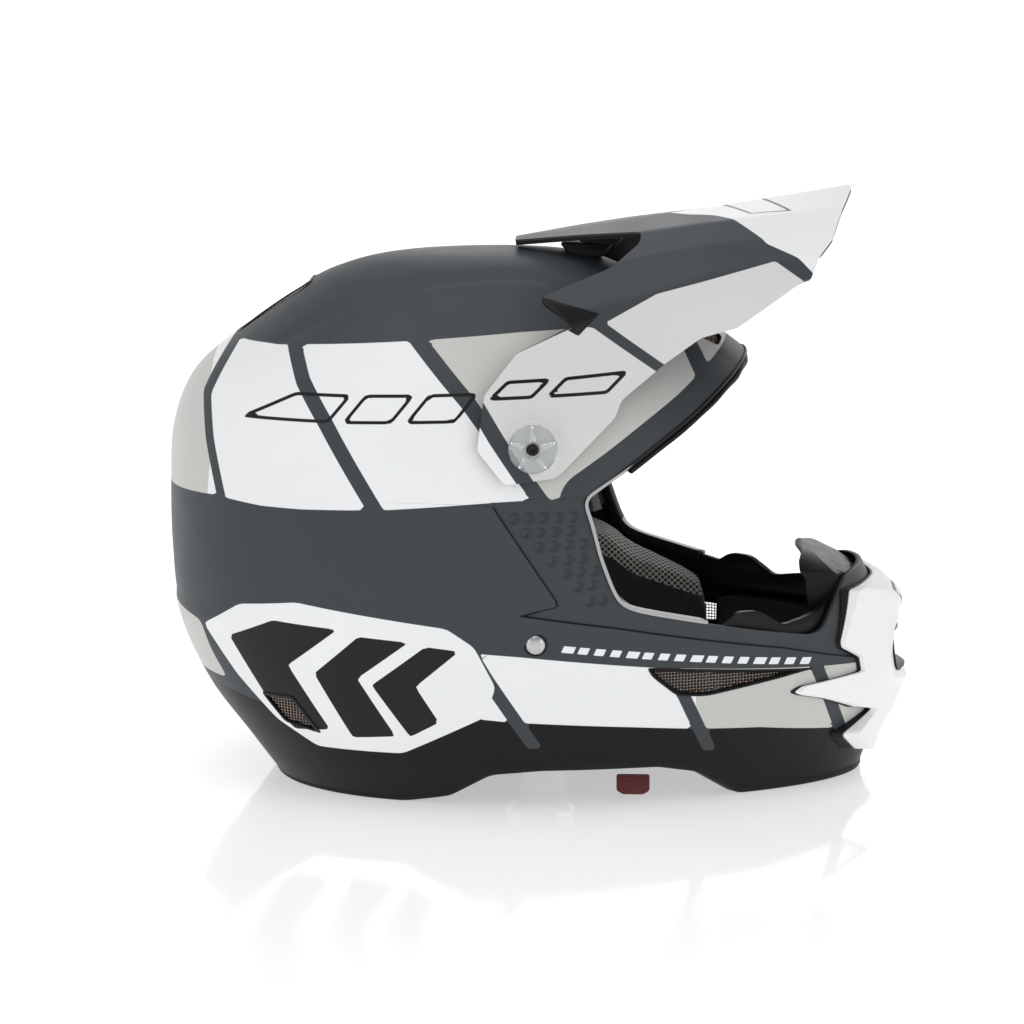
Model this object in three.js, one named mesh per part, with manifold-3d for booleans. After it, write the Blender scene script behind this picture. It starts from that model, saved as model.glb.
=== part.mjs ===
// Motocross helmet: composite shell, adjustable peak, double energy-absorbing liner on elastomer
// dampers, removable comfort parts and a double-ring chin strap.
// Frame: millimetres, +X forward, +Y to the wearer's left, +Z up. The origin lies under the middle of
// the helmet's length, on the surface that its lower edge rests on.
import * as THREE from "three";
import { mergeVertices } from "three/addons/utils/BufferGeometryUtils.js";
import Module from "manifold-3d";

const wasm = await Module();
wasm.setup();

// ---------------------------------------------------------------- driving dimensions
const SHELL_WALL = 3.5;
const OUTER_EPS = { outside: -5.8, inside: -18 };
const INNER_EPS = { outside: -25, inside: -36 };
const COMFORT = { outside: -37, inside: -45 };
const FIT = 0.35; // gap left between pieces that touch
const PIVOT = { x: 1, z: 178 }; // the peak turns about the Y axis through this point
const RIVET = { x: 2, z: 83 }; // the chin strap swings about the Y axis through this point
const STRAP_WIDTH = 22;
const STRAP_THICK = 2;
const CROWN = 260.5;

// Rings of the outer form, rim first. Each is an egg in plan: z of the ring, x of its rear and front
// ends, its half width, x of its widest place, and how square its rear and front halves are.
const FORM_RINGS = [
  { z: 0, rear: -131, front: 160, half: 92, widest: -25, rearPower: 2.3, frontPower: 1.9 },
  { z: 22, rear: -147, front: 168, half: 104, widest: -28, rearPower: 2.3, frontPower: 1.85 },
  { z: 48, rear: -166, front: 178, half: 113, widest: -30, rearPower: 2.3, frontPower: 1.8 },
  { z: 80, rear: -180, front: 172, half: 119, widest: -32, rearPower: 2.3, frontPower: 1.85 },
  { z: 112, rear: -183, front: 158, half: 123, widest: -34, rearPower: 2.3, frontPower: 2.0 },
  { z: 145, rear: -183.4, front: 143, half: 125, widest: -36, rearPower: 2.25, frontPower: 2.1 },
  { z: 175, rear: -181.5, front: 128, half: 123, widest: -38, rearPower: 2.2, frontPower: 2.15 },
  { z: 200, rear: -171, front: 112, half: 114, widest: -36, rearPower: 2.15, frontPower: 2.15 },
  { z: 220, rear: -148, front: 88, half: 98, widest: -32, rearPower: 2.1, frontPower: 2.1 },
  { z: 238, rear: -123, front: 64, half: 77, widest: -28, rearPower: 2.05, frontPower: 2.05 },
  { z: 250, rear: -101, front: 43, half: 56, widest: -24, rearPower: 2, frontPower: 2 },
  { z: 257.5, rear: -70, front: 20, half: 32, widest: -20, rearPower: 2, frontPower: 2 },
  { z: CROWN, rear: -14, front: -14, half: 0, widest: -14, rearPower: 2, frontPower: 2 },
];

// Outlines seen from the side, as [x, z] points.
const EYEPORT = [
  [24, 153], [28, 141], [32, 125], [37, 111], [40.5, 103.5], [44.5, 100], [51, 97.5], [61, 95],
  [108, 84], [134, 78.5], [139, 79.5], [142, 83], [150, 100], [154, 103.5], [165, 106],
  [230, 112], [230, 240], [130, 228], [102, 210.5], [88, 199.5], [75, 189], [58, 177], [43, 166],
];
const LOWER_EDGE = [
  [-220, 0], [-62, 0], [-40, 4], [-20, 16], [4, 18], [60, 18], [79, 14], [99, 0], [220, 0],
];
const CHIN_INTAKE = [[54, 70], [57, 65], [69, 54.5], [83, 53.5], [137, 62]];
const REAR_EXHAUST = [[-132, 53], [-115, 53], [-101, 34], [-120, 38]];
const CHIN_GUARD = [
  [200, 97], [165, 98.5], [158, 97.5], [150.5, 73], [151, 70], [160.5, 64], [161.5, 56.5],
  [132, 54], [128.5, 51.5], [132, 49.5], [142, 46.5], [168.5, 35.5], [158, 25.5], [166, 15], [200, 15],
];

// ---------------------------------------------------------------- solids and helpers
const solidOf = (geometry) => {
  const flat = geometry.index ? geometry.toNonIndexed() : geometry.clone();
  const bare = new THREE.BufferGeometry().setAttribute("position", flat.getAttribute("position"));
  const merged = mergeVertices(bare, 1e-4);
  return new wasm.Manifold(
    new wasm.Mesh({
      numProp: 3,
      vertProperties: merged.attributes.position.array,
      triVerts: new Uint32Array(merged.index.array),
    }),
  );
};

const geometryOf = (solid) => {
  const mesh = solid.getMesh();
  const positions = new Float32Array(mesh.numVert * 3);
  for (let i = 0; i < mesh.numVert; i++) {
    positions.set(mesh.vertProperties.subarray(i * mesh.numProp, i * mesh.numProp + 3), i * 3);
  }
  const geometry = new THREE.BufferGeometry()
    .setAttribute("position", new THREE.BufferAttribute(positions, 3))
    .setIndex(new THREE.BufferAttribute(new Uint32Array(mesh.triVerts), 1));
  geometry.computeVertexNormals();
  return geometry;
};

const union = (solids) => solids.reduce((whole, solid) => whole.add(solid));
const cut = (solid, tools) => tools.reduce((rest, tool) => rest.subtract(tool), solid);

// The largest closed piece, without the slivers that a cut can leave.
const largest = (solid) =>
  solid.decompose().reduce((best, piece) => (piece.volume() > best.volume() ? piece : best));

// An outline of [x, z] points as a prism from y = from to y = to.
const alongY = (outline, from, to) => {
  const shape = new THREE.Shape(outline.map(([x, z]) => new THREE.Vector2(x, z)));
  const geometry = new THREE.ExtrudeGeometry(shape, { depth: to - from, bevelEnabled: false });
  geometry.rotateX(Math.PI / 2);
  geometry.translate(0, to, 0);
  return solidOf(geometry);
};

// An outline of [x, y] points as a prism from z = from to z = to.
const alongZ = (outline, from, to) => {
  const shape = new THREE.Shape(outline.map(([x, y]) => new THREE.Vector2(x, y)));
  const geometry = new THREE.ExtrudeGeometry(shape, { depth: to - from, bevelEnabled: false });
  geometry.translate(0, 0, from);
  return solidOf(geometry);
};

// An outline of [y, z] points as a prism from x = from to x = to.
const alongX = (outline, from, to) => {
  const shape = new THREE.Shape(outline.map(([y, z]) => new THREE.Vector2(y, z)));
  const geometry = new THREE.ExtrudeGeometry(shape, { depth: to - from, bevelEnabled: false });
  geometry.applyMatrix4(new THREE.Matrix4().set(0, 0, 1, from, 1, 0, 0, 0, 0, 1, 0, 0, 0, 0, 0, 1));
  return solidOf(geometry);
};

const block = (x0, x1, y0, y1, z0, z1) =>
  solidOf(new THREE.BoxGeometry(x1 - x0, y1 - y0, z1 - z0)
    .translate((x0 + x1) / 2, (y0 + y1) / 2, (z0 + z1) / 2));

// A turned piece: profile points [radius, height], from the axis back to the axis, set at a place
// with its axis along a direction.
const turned = (profile, place, direction, sides = 20) => {
  const points = profile.map(([radius, height]) => new THREE.Vector2(radius, height));
  const geometry = new THREE.LatheGeometry(points, sides);
  const turn = new THREE.Quaternion().setFromUnitVectors(
    new THREE.Vector3(0, 1, 0), direction.clone().normalize());
  geometry.applyQuaternion(turn);
  geometry.translate(place.x, place.y, place.z);
  return solidOf(geometry);
};
const rod = (radius, from, to, sides = 20) => {
  const span = to.clone().sub(from);
  const profile = [[0, 0], [radius, 0], [radius, span.length()], [0, span.length()]];
  return turned(profile, from, span, sides);
};
const point = (x, y, z) => new THREE.Vector3(x, y, z);
const left = (solid) => solid.mirror([0, 1, 0]); // the other side's copy of a piece

// ---------------------------------------------------------------- the helmet's form
const FORM_KEYS = Object.keys(FORM_RINGS[0]);
const ringAt = (place) => {
  const last = FORM_RINGS.length - 1;
  const i = Math.min(Math.max(Math.floor(place), 0), last - 1);
  const t = place - i;
  const near = [i - 1, i, i + 1, i + 2].map((k) => FORM_RINGS[Math.min(Math.max(k, 0), last)]);
  return Object.fromEntries(FORM_KEYS.map((key) => {
    const [a, b, c, d] = near.map((ring) => ring[key]);
    return [key, 0.5 * (2 * b + (c - a) * t + (2 * a - 5 * b + 4 * c - d) * t * t
      + (3 * b - a - 3 * c + d) * t * t * t)];
  }));
};

// A ring moved out by offset along the form's slope, as its own ring.
const STEP = 0.02;
const offsetRing = (place, offset) => {
  const ring = ringAt(place);
  const before = ringAt(Math.max(place - STEP, 0));
  const after = ringAt(Math.min(place + STEP, FORM_RINGS.length - 1));
  const rise = after.z - before.z;
  const taper = Math.max(before.half - after.half, 0);
  const length = Math.hypot(rise, taper);
  const out = (offset * rise) / length;
  return {
    ...ring,
    z: ring.z + (offset * taper) / length,
    rear: ring.rear - out,
    front: ring.front + out,
    half: ring.half + out,
  };
};
const power = (value, exponent) => Math.sign(value) * Math.abs(value) ** exponent;
const ringPoint = (ring, angle) => {
  const c = Math.cos(angle);
  const s = Math.sin(angle);
  const exponent = 2 / (c >= 0 ? ring.frontPower : ring.rearPower);
  const reach = c >= 0 ? ring.front - ring.widest : ring.widest - ring.rear;
  return [ring.widest + power(c, exponent) * reach, power(s, exponent) * ring.half, ring.z];
};

// The solid inside the form moved out by offset. It runs on below the rim, so that a cut with it
// leaves the bottom open.
const BELOW_RIM = 30;
const form = (offset, { around = 36, levels = 13 } = {}) => {
  const last = FORM_RINGS.length - 1;
  const places = Array.from({ length: levels }, (_, i) => (i / levels) * last);
  const rings = places.map((place) => offsetRing(place, offset));
  const rows = [{ ...rings[0], z: -BELOW_RIM }, ...rings];
  const angles = Array.from({ length: around }, (_, j) => (j / around) * 2 * Math.PI);
  const positions = rows.flatMap((ring) => angles.flatMap((angle) => ringPoint(ring, angle)));
  const floor = rows.length * around;
  positions.push(FORM_RINGS[0].widest, 0, -BELOW_RIM);
  positions.push(FORM_RINGS[last].widest, 0, CROWN + offset);
  const faces = [];
  for (let j = 0; j < around; j++) {
    const next = (j + 1) % around;
    faces.push(floor, next, j);
    for (let i = 0; i < rows.length - 1; i++) {
      const [a, b] = [i * around + j, i * around + next];
      faces.push(a, b, b + around, a, b + around, a + around);
    }
    const top = (rows.length - 1) * around;
    faces.push(top + j, top + next, floor + 1);
  }
  const geometry = new THREE.BufferGeometry()
    .setAttribute("position", new THREE.Float32BufferAttribute(positions, 3))
    .setIndex(faces);
  return solidOf(geometry);
};
const LINER = { around: 28, levels: 10 };
const layer = (outside, inside, detail = {}) => form(outside, detail).subtract(form(inside, detail));

// The form's half width at x and z, and the direction out of it there, on the wearer's right.
const halfWidth = (x, z) => {
  const last = FORM_RINGS.length - 1;
  let [low, high] = [0, last];
  for (let i = 0; i < 30; i++) {
    const middle = (low + high) / 2;
    if (ringAt(middle).z < z) low = middle;
    else high = middle;
  }
  const ring = ringAt(low);
  const reach = x >= ring.widest ? ring.front - ring.widest : ring.widest - ring.rear;
  const exponent = x >= ring.widest ? ring.frontPower : ring.rearPower;
  return ring.half * (1 - Math.min(Math.abs(x - ring.widest) / reach, 1) ** exponent) ** (1 / exponent);
};

// An outline moved out by distance, with mitred corners. The outline runs anticlockwise.
const grown = (outline, distance) => {
  const points = outline.map(([x, z]) => new THREE.Vector2(x, z));
  const sign = Math.sign(THREE.ShapeUtils.area(points));
  return points.map((here, i) => {
    const before = points[(i + points.length - 1) % points.length];
    const after = points[(i + 1) % points.length];
    const arrive = here.clone().sub(before).normalize();
    const leave = after.clone().sub(here).normalize();
    const out = new THREE.Vector2(arrive.y + leave.y, -arrive.x - leave.x).normalize();
    const stretch = 1 / Math.max(out.dot(new THREE.Vector2(leave.y, -leave.x)), 0.4);
    return [here.x + out.x * distance * stretch * sign, here.y + out.y * distance * stretch * sign];
  });
};
const through = (outline) => alongY(outline, -160, 160);
const onRight = (outline) => alongY(outline, -160, 0);
const edgeRaised = (rise) => LOWER_EDGE.map(([x, z]) => [x, z + rise]);
const below = (line) => through([[220, -40], ...line.toReversed(), [-220, -40]]);

// ---------------------------------------------------------------- materials
const finish = (color, roughness, metalness = 0, extra = {}) =>
  new THREE.MeshStandardMaterial({ color, roughness, metalness, ...extra });
const MATERIALS = {
  paint: finish(0x474c52, 0.5),
  white: finish(0xe9ecec, 0.45),
  black: finish(0x1b1b1d, 0.5),
  rubber: finish(0x3a3a3c, 0.75),
  foam: finish(0x232325, 0.9),
  paleFoam: finish(0xd9d9d6, 0.9),
  damper: finish(0xc8372c, 0.6),
  fabric: finish(0x2a2a2c, 0.95),
  webbing: finish(0x161617, 0.9),
  redWebbing: finish(0xb2202c, 0.85),
  steel: finish(0xb9bbbd, 0.3, 1),
  mesh: finish(0x8b857c, 0.4, 0.9),
  clear: finish(0xe8eef0, 0.05, 0, { transparent: true, opacity: 0.4 }),
};
const helmet = new THREE.Group();
const add = (name, solid, material) => {
  const mesh = new THREE.Mesh(geometryOf(largest(solid)), MATERIALS[material]);
  mesh.name = name;
  helmet.add(mesh);
};
const addPair = (name, rightSolid, material) => {
  add(`${name}_right`, rightSolid, material);
  add(`${name}_left`, left(rightSolid), material);
};

// ---------------------------------------------------------------- peak screws and strap rivets
const RIGHT = point(0, -1, 0);
const pivotSurface = halfWidth(PIVOT.x, PIVOT.z);
const rivetSurface = halfWidth(RIVET.x, RIVET.z);
const PEAK_GAP = 2.4; // from the shell to the peak's arm
const PEAK_WALL = 2.8;
const BOSS = { radius: 12.6, height: 1.8 }; // the flat seat of the peak's screw, above its arm
const pivotHole = rod(3.6, point(PIVOT.x, -150, PIVOT.z), point(PIVOT.x, -100, PIVOT.z));
const rivetHole = rod(2.7, point(RIVET.x, -150, RIVET.z), point(RIVET.x, -98, RIVET.z), 12);
const armFace = pivotSurface + PEAK_GAP + PEAK_WALL;

const peakScrew = () => {
  const head = [[0, 7.4], [5, 7.4], [9.6, 5.6], [11, 3], [11, 0.5], [3.2, 0.5]];
  const shank = [[3.2, -17], [0, -17]];
  const socket = rod(2.6, point(PIVOT.x, -armFace - BOSS.height - 4, PIVOT.z), point(PIVOT.x, -150, PIVOT.z), 6);
  return turned([...head, ...shank].toReversed(), point(PIVOT.x, -armFace - BOSS.height + 0.1, PIVOT.z), RIGHT, 18)
    .subtract(socket);
};
const peakNut = () => {
  const nut = rod(7.5, point(PIVOT.x, -pivotSurface + 7.2, PIVOT.z),
    point(PIVOT.x, -pivotSurface + 11.6, PIVOT.z), 6);
  return nut.subtract(pivotHole);
};
const nutPocket = rod(9, point(PIVOT.x, -pivotSurface - 1, PIVOT.z),
  point(PIVOT.x, -pivotSurface + 13.5, PIVOT.z), 12);
const strapRivet = () => {
  const profile = [[0, 1.9], [3.6, 1.7], [5, 1], [5, 0.4], [2.2, 0.4], [2.2, -12], [0, -12]];
  return turned(profile.toReversed(), point(RIVET.x, -rivetSurface - 0.4, RIVET.z), RIGHT, 16);
};

// ---------------------------------------------------------------- shell and its trims
const REAR_PORT = [[-150, -13], [-146, -17], [-118, -21], [-112, -17], [-112, 17], [-118, 21],
  [-146, 17], [-150, 13]];
const BROW_PORT = [[70, 12], [66, 38], [76, 40], [88, 34], [90, 16], [86, 11]];
const rearPort = (shrink = 0) => alongZ(grown(REAR_PORT, -shrink), 190, 270);
const browPort = (shrink = 0) => alongZ(grown(BROW_PORT, -shrink), 200, 262);
const MOUTH_PORT = [[-21, 62], [-19, 52], [19, 52], [21, 62], [17, 72], [-17, 72]];
const mouthPort = (shrink = 0) => alongX(grown(MOUTH_PORT, -shrink), 135, 200);

const intakes = union([onRight(CHIN_INTAKE), left(onRight(CHIN_INTAKE))]);
const exhausts = union([onRight(REAR_EXHAUST), left(onRight(REAR_EXHAUST))]);
const guardScrewHoles = [-30, 30].map((y) => rod(2.4, point(120, y, 40), point(200, y, 40), 12));

const outerShell = () => cut(
  form(0).subtract(form(-SHELL_WALL)),
  [through(EYEPORT), below(edgeRaised(2.4)), intakes, exhausts, rearPort(), browPort(),
    left(browPort()), mouthPort(), pivotHole, left(pivotHole), rivetHole, left(rivetHole),
    ...guardScrewHoles],
);

const baseTrim = () => {
  const band = layer(1.6, -7)
    .subtract(below(LOWER_EDGE))
    .intersect(below(edgeRaised(11)));
  const groove = form(FIT).subtract(form(-SHELL_WALL - FIT)).subtract(below(edgeRaised(2)));
  return band.subtract(groove);
};

const eyeportTrim = () => {
  const region = through(grown(EYEPORT, 4.5)).subtract(through(grown(EYEPORT, -2.4)));
  const groove = form(FIT).subtract(form(-SHELL_WALL - FIT)).subtract(through(grown(EYEPORT, -FIT)));
  return layer(1.5, -6).intersect(region).subtract(groove)
    .subtract(block(87, 220, -160, 160, 0, 130));
};

// ---------------------------------------------------------------- chin bar
const NOSE = [
  [140, 14], [166, 15], [171, 25], [179, 36], [183.4, 48], [178, 62], [176.5, 74], [181.5, 87.5],
  [165, 99.5], [140, 99.5],
];
const NOSE_PLAN = [[120, -78], [160, -46], [183.4, -9], [183.4, 9], [160, 46], [120, 78]];
const chinGuard = () => {
  const nose = through(NOSE).intersect(alongZ(NOSE_PLAN, 0, 120));
  return cut(union([form(3.2), nose]).intersect(through(CHIN_GUARD)), [
    form(FIT), alongX(MOUTH_PORT, 120, 200),
    ...[-30, 30].map((y) => rod(1.6, point(120, y, 40), point(172, y, 40), 12)),
  ]);
};
const guardScrew = (y) => {
  const tail = 170;
  const seat = 156;
  const profile = [[0, 0], [4, 0], [4, 2], [1.3, 2], [1.3, tail - seat], [0, tail - seat]];
  return turned(profile, point(seat - 2, y, 40), point(1, 0, 0), 14);
};

const BAR_BAND = [[88, 74], [88, 86], [98, 93], [108, 92.5], [120, 84], [138, 88], [152, 101],
  [166, 101], [166, 74]];
const DEFLECTOR = [[161, 91], [159, 100.5], [137, 112.5], [132.5, 112.8], [131, 110.5], [137.5, 101],
  [139, 86], [150, 83]];
const mouthpiece = () => {
  const band = layer(-4.6, -9.5).intersect(through(BAR_BAND));
  const peak = through(DEFLECTOR).intersect(alongZ([[100, -40], [136, -30], [175, -34], [175, 34],
    [136, 30], [100, 40]], 60, 130)).intersect(form(-4.6));
  const hollow = through([[148, 80], [152, 95], [140, 103], [141, 90]])
    .intersect(block(120, 180, -16, 16, 70, 120));
  return band.add(peak).subtract(hollow);
};
const mouthMesh = () => layer(-0.6, -1.8).intersect(mouthPort(0.4));
const CHIN_LINER = [[92, 16], [92, 71], [170, 71], [170, 16]];
const chinLiner = () => cut(layer(-5, -19).intersect(through(CHIN_LINER)),
  [alongX(grown(MOUTH_PORT, 3), 120, 200), ...[-30, 30].map((y) =>
    rod(5.5, point(120, y, 40), point(200, y, 40), 12))]);
const CHIN_SKIRT = [[84, 5], [84, 12], [166, 12], [166, 1.5], [96, 1.5]];
const chinSkirt = () => layer(-7.6, -17).intersect(through(CHIN_SKIRT));

// ---------------------------------------------------------------- vent meshes
const intakeMesh = () => layer(-1.2, -2.4).intersect(onRight(grown(CHIN_INTAKE, -0.5)));
const exhaustMesh = () => layer(-1.2, -2.4).intersect(onRight(grown(REAR_EXHAUST, -0.5)));
const rearPortMesh = () => layer(-1.6, -2.8).intersect(rearPort(0.5));
const browMesh = () => layer(-1.2, -2.4).intersect(browPort(0.5));

// ---------------------------------------------------------------- liners
const LINER_END = [[-220, -40], [-220, 52], [-92, 52], [-66, 114], [220, 114], [220, -40]];
const COMFORT_END = [[-220, -40], [-220, 48], [-95, 48], [-70, 117], [220, 117], [220, -40]];
const outerLiner = () => cut(layer(OUTER_EPS.outside, OUTER_EPS.inside, LINER), [
  through(grown(EYEPORT, 7)), through(LINER_END), nutPocket, left(nutPocket),
]);
const innerLiner = () => cut(layer(INNER_EPS.outside, INNER_EPS.inside, LINER), [
  through(grown(EYEPORT, 8)), through(LINER_END),
]);
const comfortLiner = () => cut(layer(COMFORT.outside, COMFORT.inside, LINER), [
  through(grown(EYEPORT, 9)), through(COMFORT_END),
]);

// Dampers sit in the gap between the liners, each across the gap where it stands.
const DAMPERS = [[7.5, 37], [5.6, 140], [5.9, 90], [8.2, 52], [8.2, 130], [3.4, 148]];
const damperGap = layer(OUTER_EPS.inside - FIT, INNER_EPS.outside + FIT, LINER);
const damper = ([place, degrees]) => {
  const angle = (degrees * Math.PI) / 180;
  const middle = (OUTER_EPS.inside + INNER_EPS.outside) / 2;
  const at = (p, a) => point(...ringPoint(offsetRing(p, middle), a));
  const here = at(place, angle);
  const out = at(place, angle + 0.02).sub(here).cross(at(place + 0.05, angle).sub(here)).normalize();
  const waist = [[0, -7], [10, -7], [5, 0], [10, 7], [0, 7]];
  return turned(waist, here, out, 8).intersect(damperGap);
};

// ---------------------------------------------------------------- cheek pads, neck roll and tabs
const PAD_FACE = 61; // |y| of the pad's inner face
const PAD_SIDE = [
  [-52, 34], [-46, 20], [-30, 14], [60, 13.5], [78, 20], [87, 34], [87, 66], [82, 83], [60, 91],
  [46, 96], [36, 104], [24, 109], [-40, 109], [-52, 98],
];
const RING_HALF = 15.5; // half the inner width of a strap ring
// The room that something of a half width needs below the rivets when the strap swings.
const swingWedge = (top, bottom, half = STRAP_WIDTH / 2) => {
  const reach = (z) => half + 1.5 + (RIVET.z - z) * Math.tan((12.5 * Math.PI) / 180);
  return [[RIVET.x - reach(top), top], [RIVET.x - reach(bottom), bottom],
    [RIVET.x + reach(bottom), bottom], [RIVET.x + reach(top), top]];
};
const cheekPad = () => {
  const core = form(-5.2).intersect(alongY(PAD_SIDE, -140, -PAD_FACE));
  const slot = alongY(swingWedge(54, 0), -140, -50);
  const rims = union([
    layer(1, -7.8).intersect(below(edgeRaised(12))),
    layer(1, -6.6).intersect(through(grown(EYEPORT, 5.5))),
  ]);
  const pocket = alongY(swingWedge(97, 0), -140, -rivetSurface + 16.2);
  const ringRoom = alongY(swingWedge(34, 0, RING_HALF + 2), -82, -50);
  return cut(core, [slot, pocket, rims, ringRoom]);
};
const NECK_ROLL = [[-160, 14], [-160, 44], [-68, 44], [-62, 36], [-62, 14]];
const neckRoll = () => layer(-8, -27).intersect(through(NECK_ROLL));
const pullTab = () => {
  const outline = [[40, 5], [40, 12.9], [56, 12.9], [56, 5], [53, 3], [43, 3]];
  return alongY(outline, -84, -82);
};

// ---------------------------------------------------------------- chin strap
// A strip of webbing along [y, z] points, STRAP_THICK thick.
const strip = (path, width = STRAP_WIDTH) => {
  const points = path.map(([y, z]) => new THREE.Vector2(y, z));
  const sides = points.map((here, i) => {
    const before = points[Math.max(i - 1, 0)];
    const after = points[Math.min(i + 1, points.length - 1)];
    const arrive = (i ? here.clone().sub(before) : after.clone().sub(here)).normalize();
    const leave = (i < points.length - 1 ? after.clone().sub(here) : arrive.clone()).normalize();
    const normal = new THREE.Vector2(-arrive.y - leave.y, arrive.x + leave.x).normalize();
    const stretch = STRAP_THICK / 2 / Math.max(normal.dot(new THREE.Vector2(-leave.y, leave.x)), 0.5);
    return [here.clone().addScaledVector(normal, stretch), here.clone().addScaledVector(normal, -stretch)];
  });
  const outline = [...sides.map(([a]) => a), ...sides.map(([, b]) => b).toReversed()]
    .map((p) => [p.x, p.y]);
  return alongX(outline, RIVET.x - width / 2, RIVET.x + width / 2);
};
const STRAP_FACE = rivetSurface - 13.6; // |y| where the webbing leaves its anchor plate
const RING_WIRE = 1.5;
const RING_LONG = { y: -51.6, z: 19.2 }; // the straight bars of the two rings
const RING_SHORT = { y: -50.4, z: 15.6 };
const LONG_STRAP = [
  [STRAP_FACE, 78], [STRAP_FACE, 58], [101, 46], [91, 37], [76, 28.5], [60, 22], [40, 15.5], [20, 12],
  [-10, 10], [-30, 9.2], [-35.5, 9.7], [-38.6, 11.6], [-39, 14.2], [-37, 16.6], [-33, 17.3],
  [-10, 16.2], [6, 16.5],
];
const SHORT_STRAP = [
  [-STRAP_FACE, 78], [-STRAP_FACE, 58], [-101, 46], [-91, 37], [-76, 28.5], [-63, 22.5], [-55, 19.2],
];
// The outline of everything within a radius of the line between the two ring bars.
const aroundBars = (radius) => {
  const slope = Math.atan2(RING_SHORT.z - RING_LONG.z, RING_SHORT.y - RING_LONG.y);
  const turn = (bar, start) => Array.from({ length: 6 }, (_, i) => {
    const angle = slope + start + (i / 5) * Math.PI;
    return [bar.y + Math.cos(angle) * radius, bar.z + Math.sin(angle) * radius];
  });
  return [...turn(RING_SHORT, -Math.PI / 2), ...turn(RING_LONG, Math.PI / 2)];
};
const shortStrap = () => {
  const eye = alongX(aroundBars(RING_WIRE + 2.4), RIVET.x - 9, RIVET.x + 9);
  const hole = alongX(aroundBars(RING_WIRE + 0.45), -30, 30);
  return strip(SHORT_STRAP).add(eye).subtract(hole);
};
const dRing = (bar, tip) => {
  const start = point(RIVET.x, bar.y, bar.z);
  const along = tip.clone().sub(start);
  const straight = [-RING_HALF, -11, 0, 11].map((x) => start.clone().add(point(x, 0, 0)));
  const arc = Array.from({ length: 13 }, (_, i) => {
    const angle = (i / 12) * Math.PI;
    return start.clone().addScaledVector(along, 0.35 + 0.65 * Math.sin(angle))
      .add(point(Math.cos(angle) * RING_HALF, 0, 0));
  });
  const path = new THREE.CatmullRomCurve3(
    [...straight, start.clone().add(point(RING_HALF, 0, 0)), ...arc], true, "centripetal");
  const wire = new THREE.Shape(Array.from({ length: 6 }, (_, i) =>
    new THREE.Vector2(Math.cos((i * Math.PI) / 3), Math.sin((i * Math.PI) / 3))
      .multiplyScalar(RING_WIRE)));
  return solidOf(new THREE.ExtrudeGeometry(wire, { steps: 32, extrudePath: path }));
};
const anchorPlate = () => cut(
  alongY([[RIVET.x - 9, 74], [RIVET.x + 9, 74], [RIVET.x + 11, 79], [RIVET.x + 7, 90],
    [RIVET.x - 7, 90], [RIVET.x - 11, 79]], -STRAP_FACE - 2.8, -STRAP_FACE - 1.4),
  [rivetHole]);

// ---------------------------------------------------------------- peak
// Half cross-sections of the peak's outer surface: x, then [y, z] from the middle down to the side.
const PEAK_STATIONS = [
  { x: -40, side: [[0, 260], [40, 258], [78, 252], [97, 240], [110, 222], [119, 204], [125.6, 184], [127, 150]] },
  { x: -12, side: [[0, 265], [42, 263], [80, 254], [100, 240], [112, 222], [120, 204], [125.8, 184], [127, 150]] },
  { x: 20, side: [[0, 270.2], [44, 268], [80, 257], [101, 240], [109, 224], [116.5, 205], [122, 184], [123, 150]] },
  { x: 50, side: [[0, 275], [45, 272], [78, 262], [97, 246], [103, 232], [108, 212], [110, 196], [111, 150]] },
  { x: 80, side: [[0, 279.5], [42, 276], [70, 267], [88, 255], [95, 243], [99, 227], [100, 215], [101, 150]] },
  { x: 110, side: [[0, 284.5], [36, 279], [60, 270], [76, 260], [83, 250], [87, 238], [89, 225], [91, 150]] },
  { x: 154, side: [[0, 292], [26, 283], [44, 274], [58, 266], [66, 256], [71, 244], [74, 232], [78, 150]] },
];
const section = (x) => {
  const i = Math.min(PEAK_STATIONS.findIndex((s) => s.x >= x), PEAK_STATIONS.length - 1);
  const [a, b] = [PEAK_STATIONS[Math.max(i - 1, 0)], PEAK_STATIONS[Math.max(i, 1)]];
  const t = (x - a.x) / (b.x - a.x);
  return a.side.map(([y, z], k) => [y + (b.side[k][0] - y) * t, z + (b.side[k][1] - z) * t]);
};
const hood = (inset) => {
  const xs = [-40, -26, -12, 4, 20, 35, 50, 65, 80, 95, 110, 125, 140, 154];
  const rows = xs.map((x) => {
    const right = section(x).map(([y, z], k) => {
      const lift = k < 4 ? 1 - k * 0.22 : 0.2;
      return [y - inset * (1 - lift * 0.8), z - inset * lift];
    });
    const outline = [...right.slice(1).toReversed().map(([y, z]) => [-y, z]), ...right];
    return outline.map(([y, z]) => point(x, y, z));
  });
  const count = rows[0].length;
  const positions = rows.flat().flatMap((p) => p.toArray());
  const faces = [];
  for (let i = 0; i < rows.length - 1; i++) {
    for (let j = 0; j < count; j++) {
      const next = (j + 1) % count;
      const [a, b, c, d] = [i * count + j, i * count + next, (i + 1) * count + next, (i + 1) * count + j];
      faces.push(a, c, b, a, d, c);
    }
  }
  [0, rows.length - 1].forEach((row) => {
    positions.push(rows[row][0].x, 0, 200);
    const centre = positions.length / 3 - 1;
    for (let j = 0; j < count; j++) {
      const [here, next] = [row * count + j, row * count + ((j + 1) % count)];
      faces.push(centre, ...(row ? [next, here] : [here, next]));
    }
  });
  const geometry = new THREE.BufferGeometry()
    .setAttribute("position", new THREE.Float32BufferAttribute(positions, 3))
    .setIndex(faces);
  return solidOf(geometry);
};
const PEAK_MIDDLE = [[-12, 262], [-12, 290], [154, 320], [170, 292], [154, 280], [120, 230], [52, 230], [34, 262.2]];
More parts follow.
